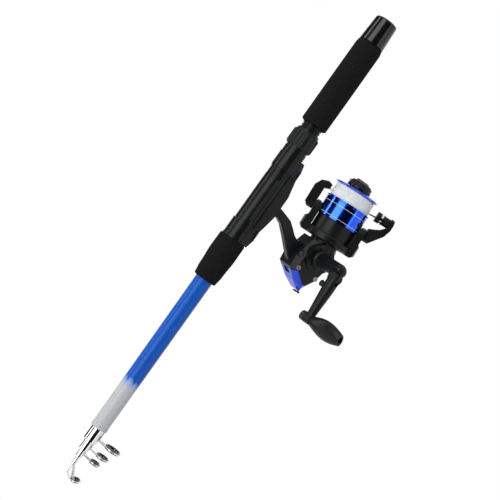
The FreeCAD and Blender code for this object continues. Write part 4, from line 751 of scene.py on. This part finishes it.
@dataclass
class Studio:
    """The camera, the pale floor and world, and the soft boxes and black cards that the object mirrors."""

    target: Vector = field(default_factory=lambda: Vector((-0.2388, -0.0086, -0.0162)))
    elevation: float = math.radians(28.0)
    distance: float = 1.026
    lens: float = 82.08
    roll_cos: float = 0.579
    roll_sin: float = 0.815
    floor_drop: float = 0.78
    floor_reach: float = 6.0
    lamp_reach: float = 1.5
    card_reach: float = 1.9
    card_half: float = 1.6
    card_steps: int = 12
    fill: float = 0.42

    def axes(self) -> tuple[Vector, Vector, Vector]:
        """The camera's directions in the row frame.

        Returns:
            Its right, its up and the way back from the target.
        """
        down = Vector((0, -math.sin(self.elevation), -math.cos(self.elevation)))
        back = Vector((0, -math.cos(self.elevation), math.sin(self.elevation)))
        along = Vector((1, 0, 0))
        right = along * self.roll_cos + down * self.roll_sin
        up = along * self.roll_sin - down * self.roll_cos
        return right, up, back

    def camera(self) -> None:
        """Places the camera and makes it the scene's."""
        right, up, back = self.axes()
        data = bpy.data.cameras.new("camera")
        data.lens, data.sensor_width, data.clip_end = self.lens, 36.0, 50.0
        camera = bpy.data.objects.new("camera", data)
        turn = Matrix((right, up, back)).transposed().to_4x4()
        camera.matrix_world = Matrix.Translation(self.target + back * self.distance) @ turn
        bpy.context.scene.collection.objects.link(camera)
        bpy.context.scene.camera = camera

    def around(self, turn: float, reach: float) -> Vector:
        """A point beside the object.

        Args:
            turn: degrees about the rod, from the camera's side towards the top of the rod.
            reach: metres from the target.

        Returns:
            The point.
        """
        _, _, back = self.axes()
        over = back.cross(Vector((1, 0, 0)))
        angle = math.radians(turn)
        return self.target + (back * math.cos(angle) + over * math.sin(angle)) * reach

    def softbox(self, name: str, turns: tuple[float, float], length: float, level: float) -> None:
        """A long area lamp beside the rod, aimed at the reel.

        Args:
            name: the lamp's name.
            turns: where it starts and ends, in degrees about the rod.
            length: its length along the rod, in metres.
            level: its brightness, where 1 is seen as white.
        """
        width = 2 * self.lamp_reach * math.tan(math.radians(turns[1] - turns[0]) / 2)
        data = bpy.data.lights.new(name, "AREA")
        data.shape, data.size, data.size_y = "RECTANGLE", length, width
        data.energy = level * math.pi * width * length
        lamp = bpy.data.objects.new(name, data)
        place = self.around((turns[0] + turns[1]) / 2, self.lamp_reach)
        away = (place - self.target).normalized()
        along = Vector((1, 0, 0))
        turn = Matrix((along, away.cross(along), away)).transposed().to_4x4()
        lamp.matrix_world = Matrix.Translation(place) @ turn
        bpy.context.scene.collection.objects.link(lamp)

    def flag(self, name: str, turns: tuple[float, float]) -> None:
        """A black card beside the rod that only reflections show, for contrast in the bright metal.

        Args:
            name: the card's name.
            turns: where it starts and ends, in degrees about the rod.
        """
        material = bare_material(name)
        tree = material.node_tree
        add(tree, "ShaderNodeOutputMaterial", {
            0: add(tree, "ShaderNodeBsdfDiffuse", {"Color": linear("#2e2e2e")}).outputs[0]})
        half = Vector((self.card_half, 0, 0))
        corners = []
        for i in range(self.card_steps + 1):
            point = self.around(turns[0] + (turns[1] - turns[0]) * i / self.card_steps, self.card_reach)
            corners += [point - half, point + half]
        mesh = bpy.data.meshes.new(name)
        mesh.from_pydata(
            corners, [], [(2 * i, 2 * i + 1, 2 * i + 3, 2 * i + 2) for i in range(self.card_steps)])
        card = new_piece(name, mesh, material)
        card.visible_camera = card.visible_diffuse = card.visible_shadow = card.visible_transmission = False

    def seen(self, tree: bpy.types.NodeTree) -> bpy.types.NodeSocket:
        """1 for a ray that looks, mirrors or passes through, and 0 for one that lights.

        Args:
            tree: the node tree of a material or the world.

        Returns:
            The value socket.
        """
        rays = add(tree, "ShaderNodeLightPath")
        either = add(tree, "ShaderNodeMath", {
            0: rays.outputs["Is Glossy Ray"], 1: rays.outputs["Is Transmission Ray"]}, operation="MAXIMUM")
        return add(tree, "ShaderNodeMath", {
            0: rays.outputs["Is Camera Ray"], 1: either.outputs[0]}, operation="MAXIMUM").outputs[0]

    def sweep(self) -> None:
        """The pale floor: white to the camera and in reflections, and shaded under the object."""
        material = bare_material("sweep_white_paper")
        tree = material.node_tree
        plain = add(tree, "ShaderNodeBsdfDiffuse", {"Color": linear("#f2f2f2")})
        glow = add(tree, "ShaderNodeEmission", {"Color": (1, 1, 1, 1), "Strength": 1.0})
        mix = add(tree, "ShaderNodeMixShader", {0: self.seen(tree), 1: plain.outputs[0], 2: glow.outputs[0]})
        add(tree, "ShaderNodeOutputMaterial", {0: mix.outputs[0]})
        mesh = bpy.data.meshes.new("sweep")
        reach, z = self.floor_reach, -self.floor_drop
        corners = [(-reach, -reach, z), (reach, -reach, z), (reach, reach, z), (-reach, reach, z)]
        mesh.from_pydata(corners, [], [(0, 1, 2, 3)])
        new_piece("sweep", mesh, material)

    def world(self) -> None:
        """A plain world: white where it is seen or mirrored, softer as a light."""
        world = bpy.data.worlds.new("studio")
        world.use_nodes = True
        bpy.context.scene.world = world
        tree = world.node_tree
        tree.nodes.clear()
        strength = add(tree, "ShaderNodeMapRange", {
            "Value": self.seen(tree), "To Min": self.fill, "To Max": 1.0})
        glow = add(tree, "ShaderNodeBackground", {"Color": (1, 1, 1, 1), "Strength": strength.outputs[0]})
        add(tree, "ShaderNodeOutputWorld", {0: glow.outputs[0]})

    def build(self) -> None:
        """Sets up the whole studio."""
        self.camera()
        self.world()
        self.sweep()
        self.softbox("key_panel", (14.0, 50.0), 2.4, 2.7)
        self.softbox("rim_strip", (80.0, 90.0), 2.0, 4.0)
        self.softbox("side_panel", (-105.0, -50.0), 2.0, 1.5)
        self.flag("front_card", (-47.0, 11.0))
        self.flag("top_card", (53.0, 78.0))
        self.flag("far_card", (94.0, 140.0))
        self.flag("under_card", (-150.0, -112.0))


def dress_nodes() -> None:
    """Gives every CAD node its finish."""
    for finish, nodes in NODE_FINISH.items():
        material = dressed(finish.name.lower(), finish.value)
        for name in nodes:
            node = frame["nodes"][name]
            if not node.material_slots:
                node.data.materials.append(material)
            for slot in node.material_slots:
                slot.material = material
        LOG.info("%s on %d nodes", material.name, len(nodes))


def main() -> None:
    """Builds the studio, the finishes and the pieces that the CAD keeps plain."""
    logging.basicConfig(level=logging.INFO)
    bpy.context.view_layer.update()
    bpy.context.scene.view_settings.view_transform = "Standard"
    Studio().build()
    dress_nodes()
    foam = dressed("grip_eva_foam", EvaFoam("#1c1c1d", "#0e0e0f"))
    for node, stations in GRIP_STATIONS.items():
        LOG.info("built %s", FoamGrip(node, stations).build(foam).name)
    LOG.info("built %s", Winding().build(dressed("line_nylon", NylonLine("#f7f3f3"))).name)


if __name__ == "__main__":
    main()
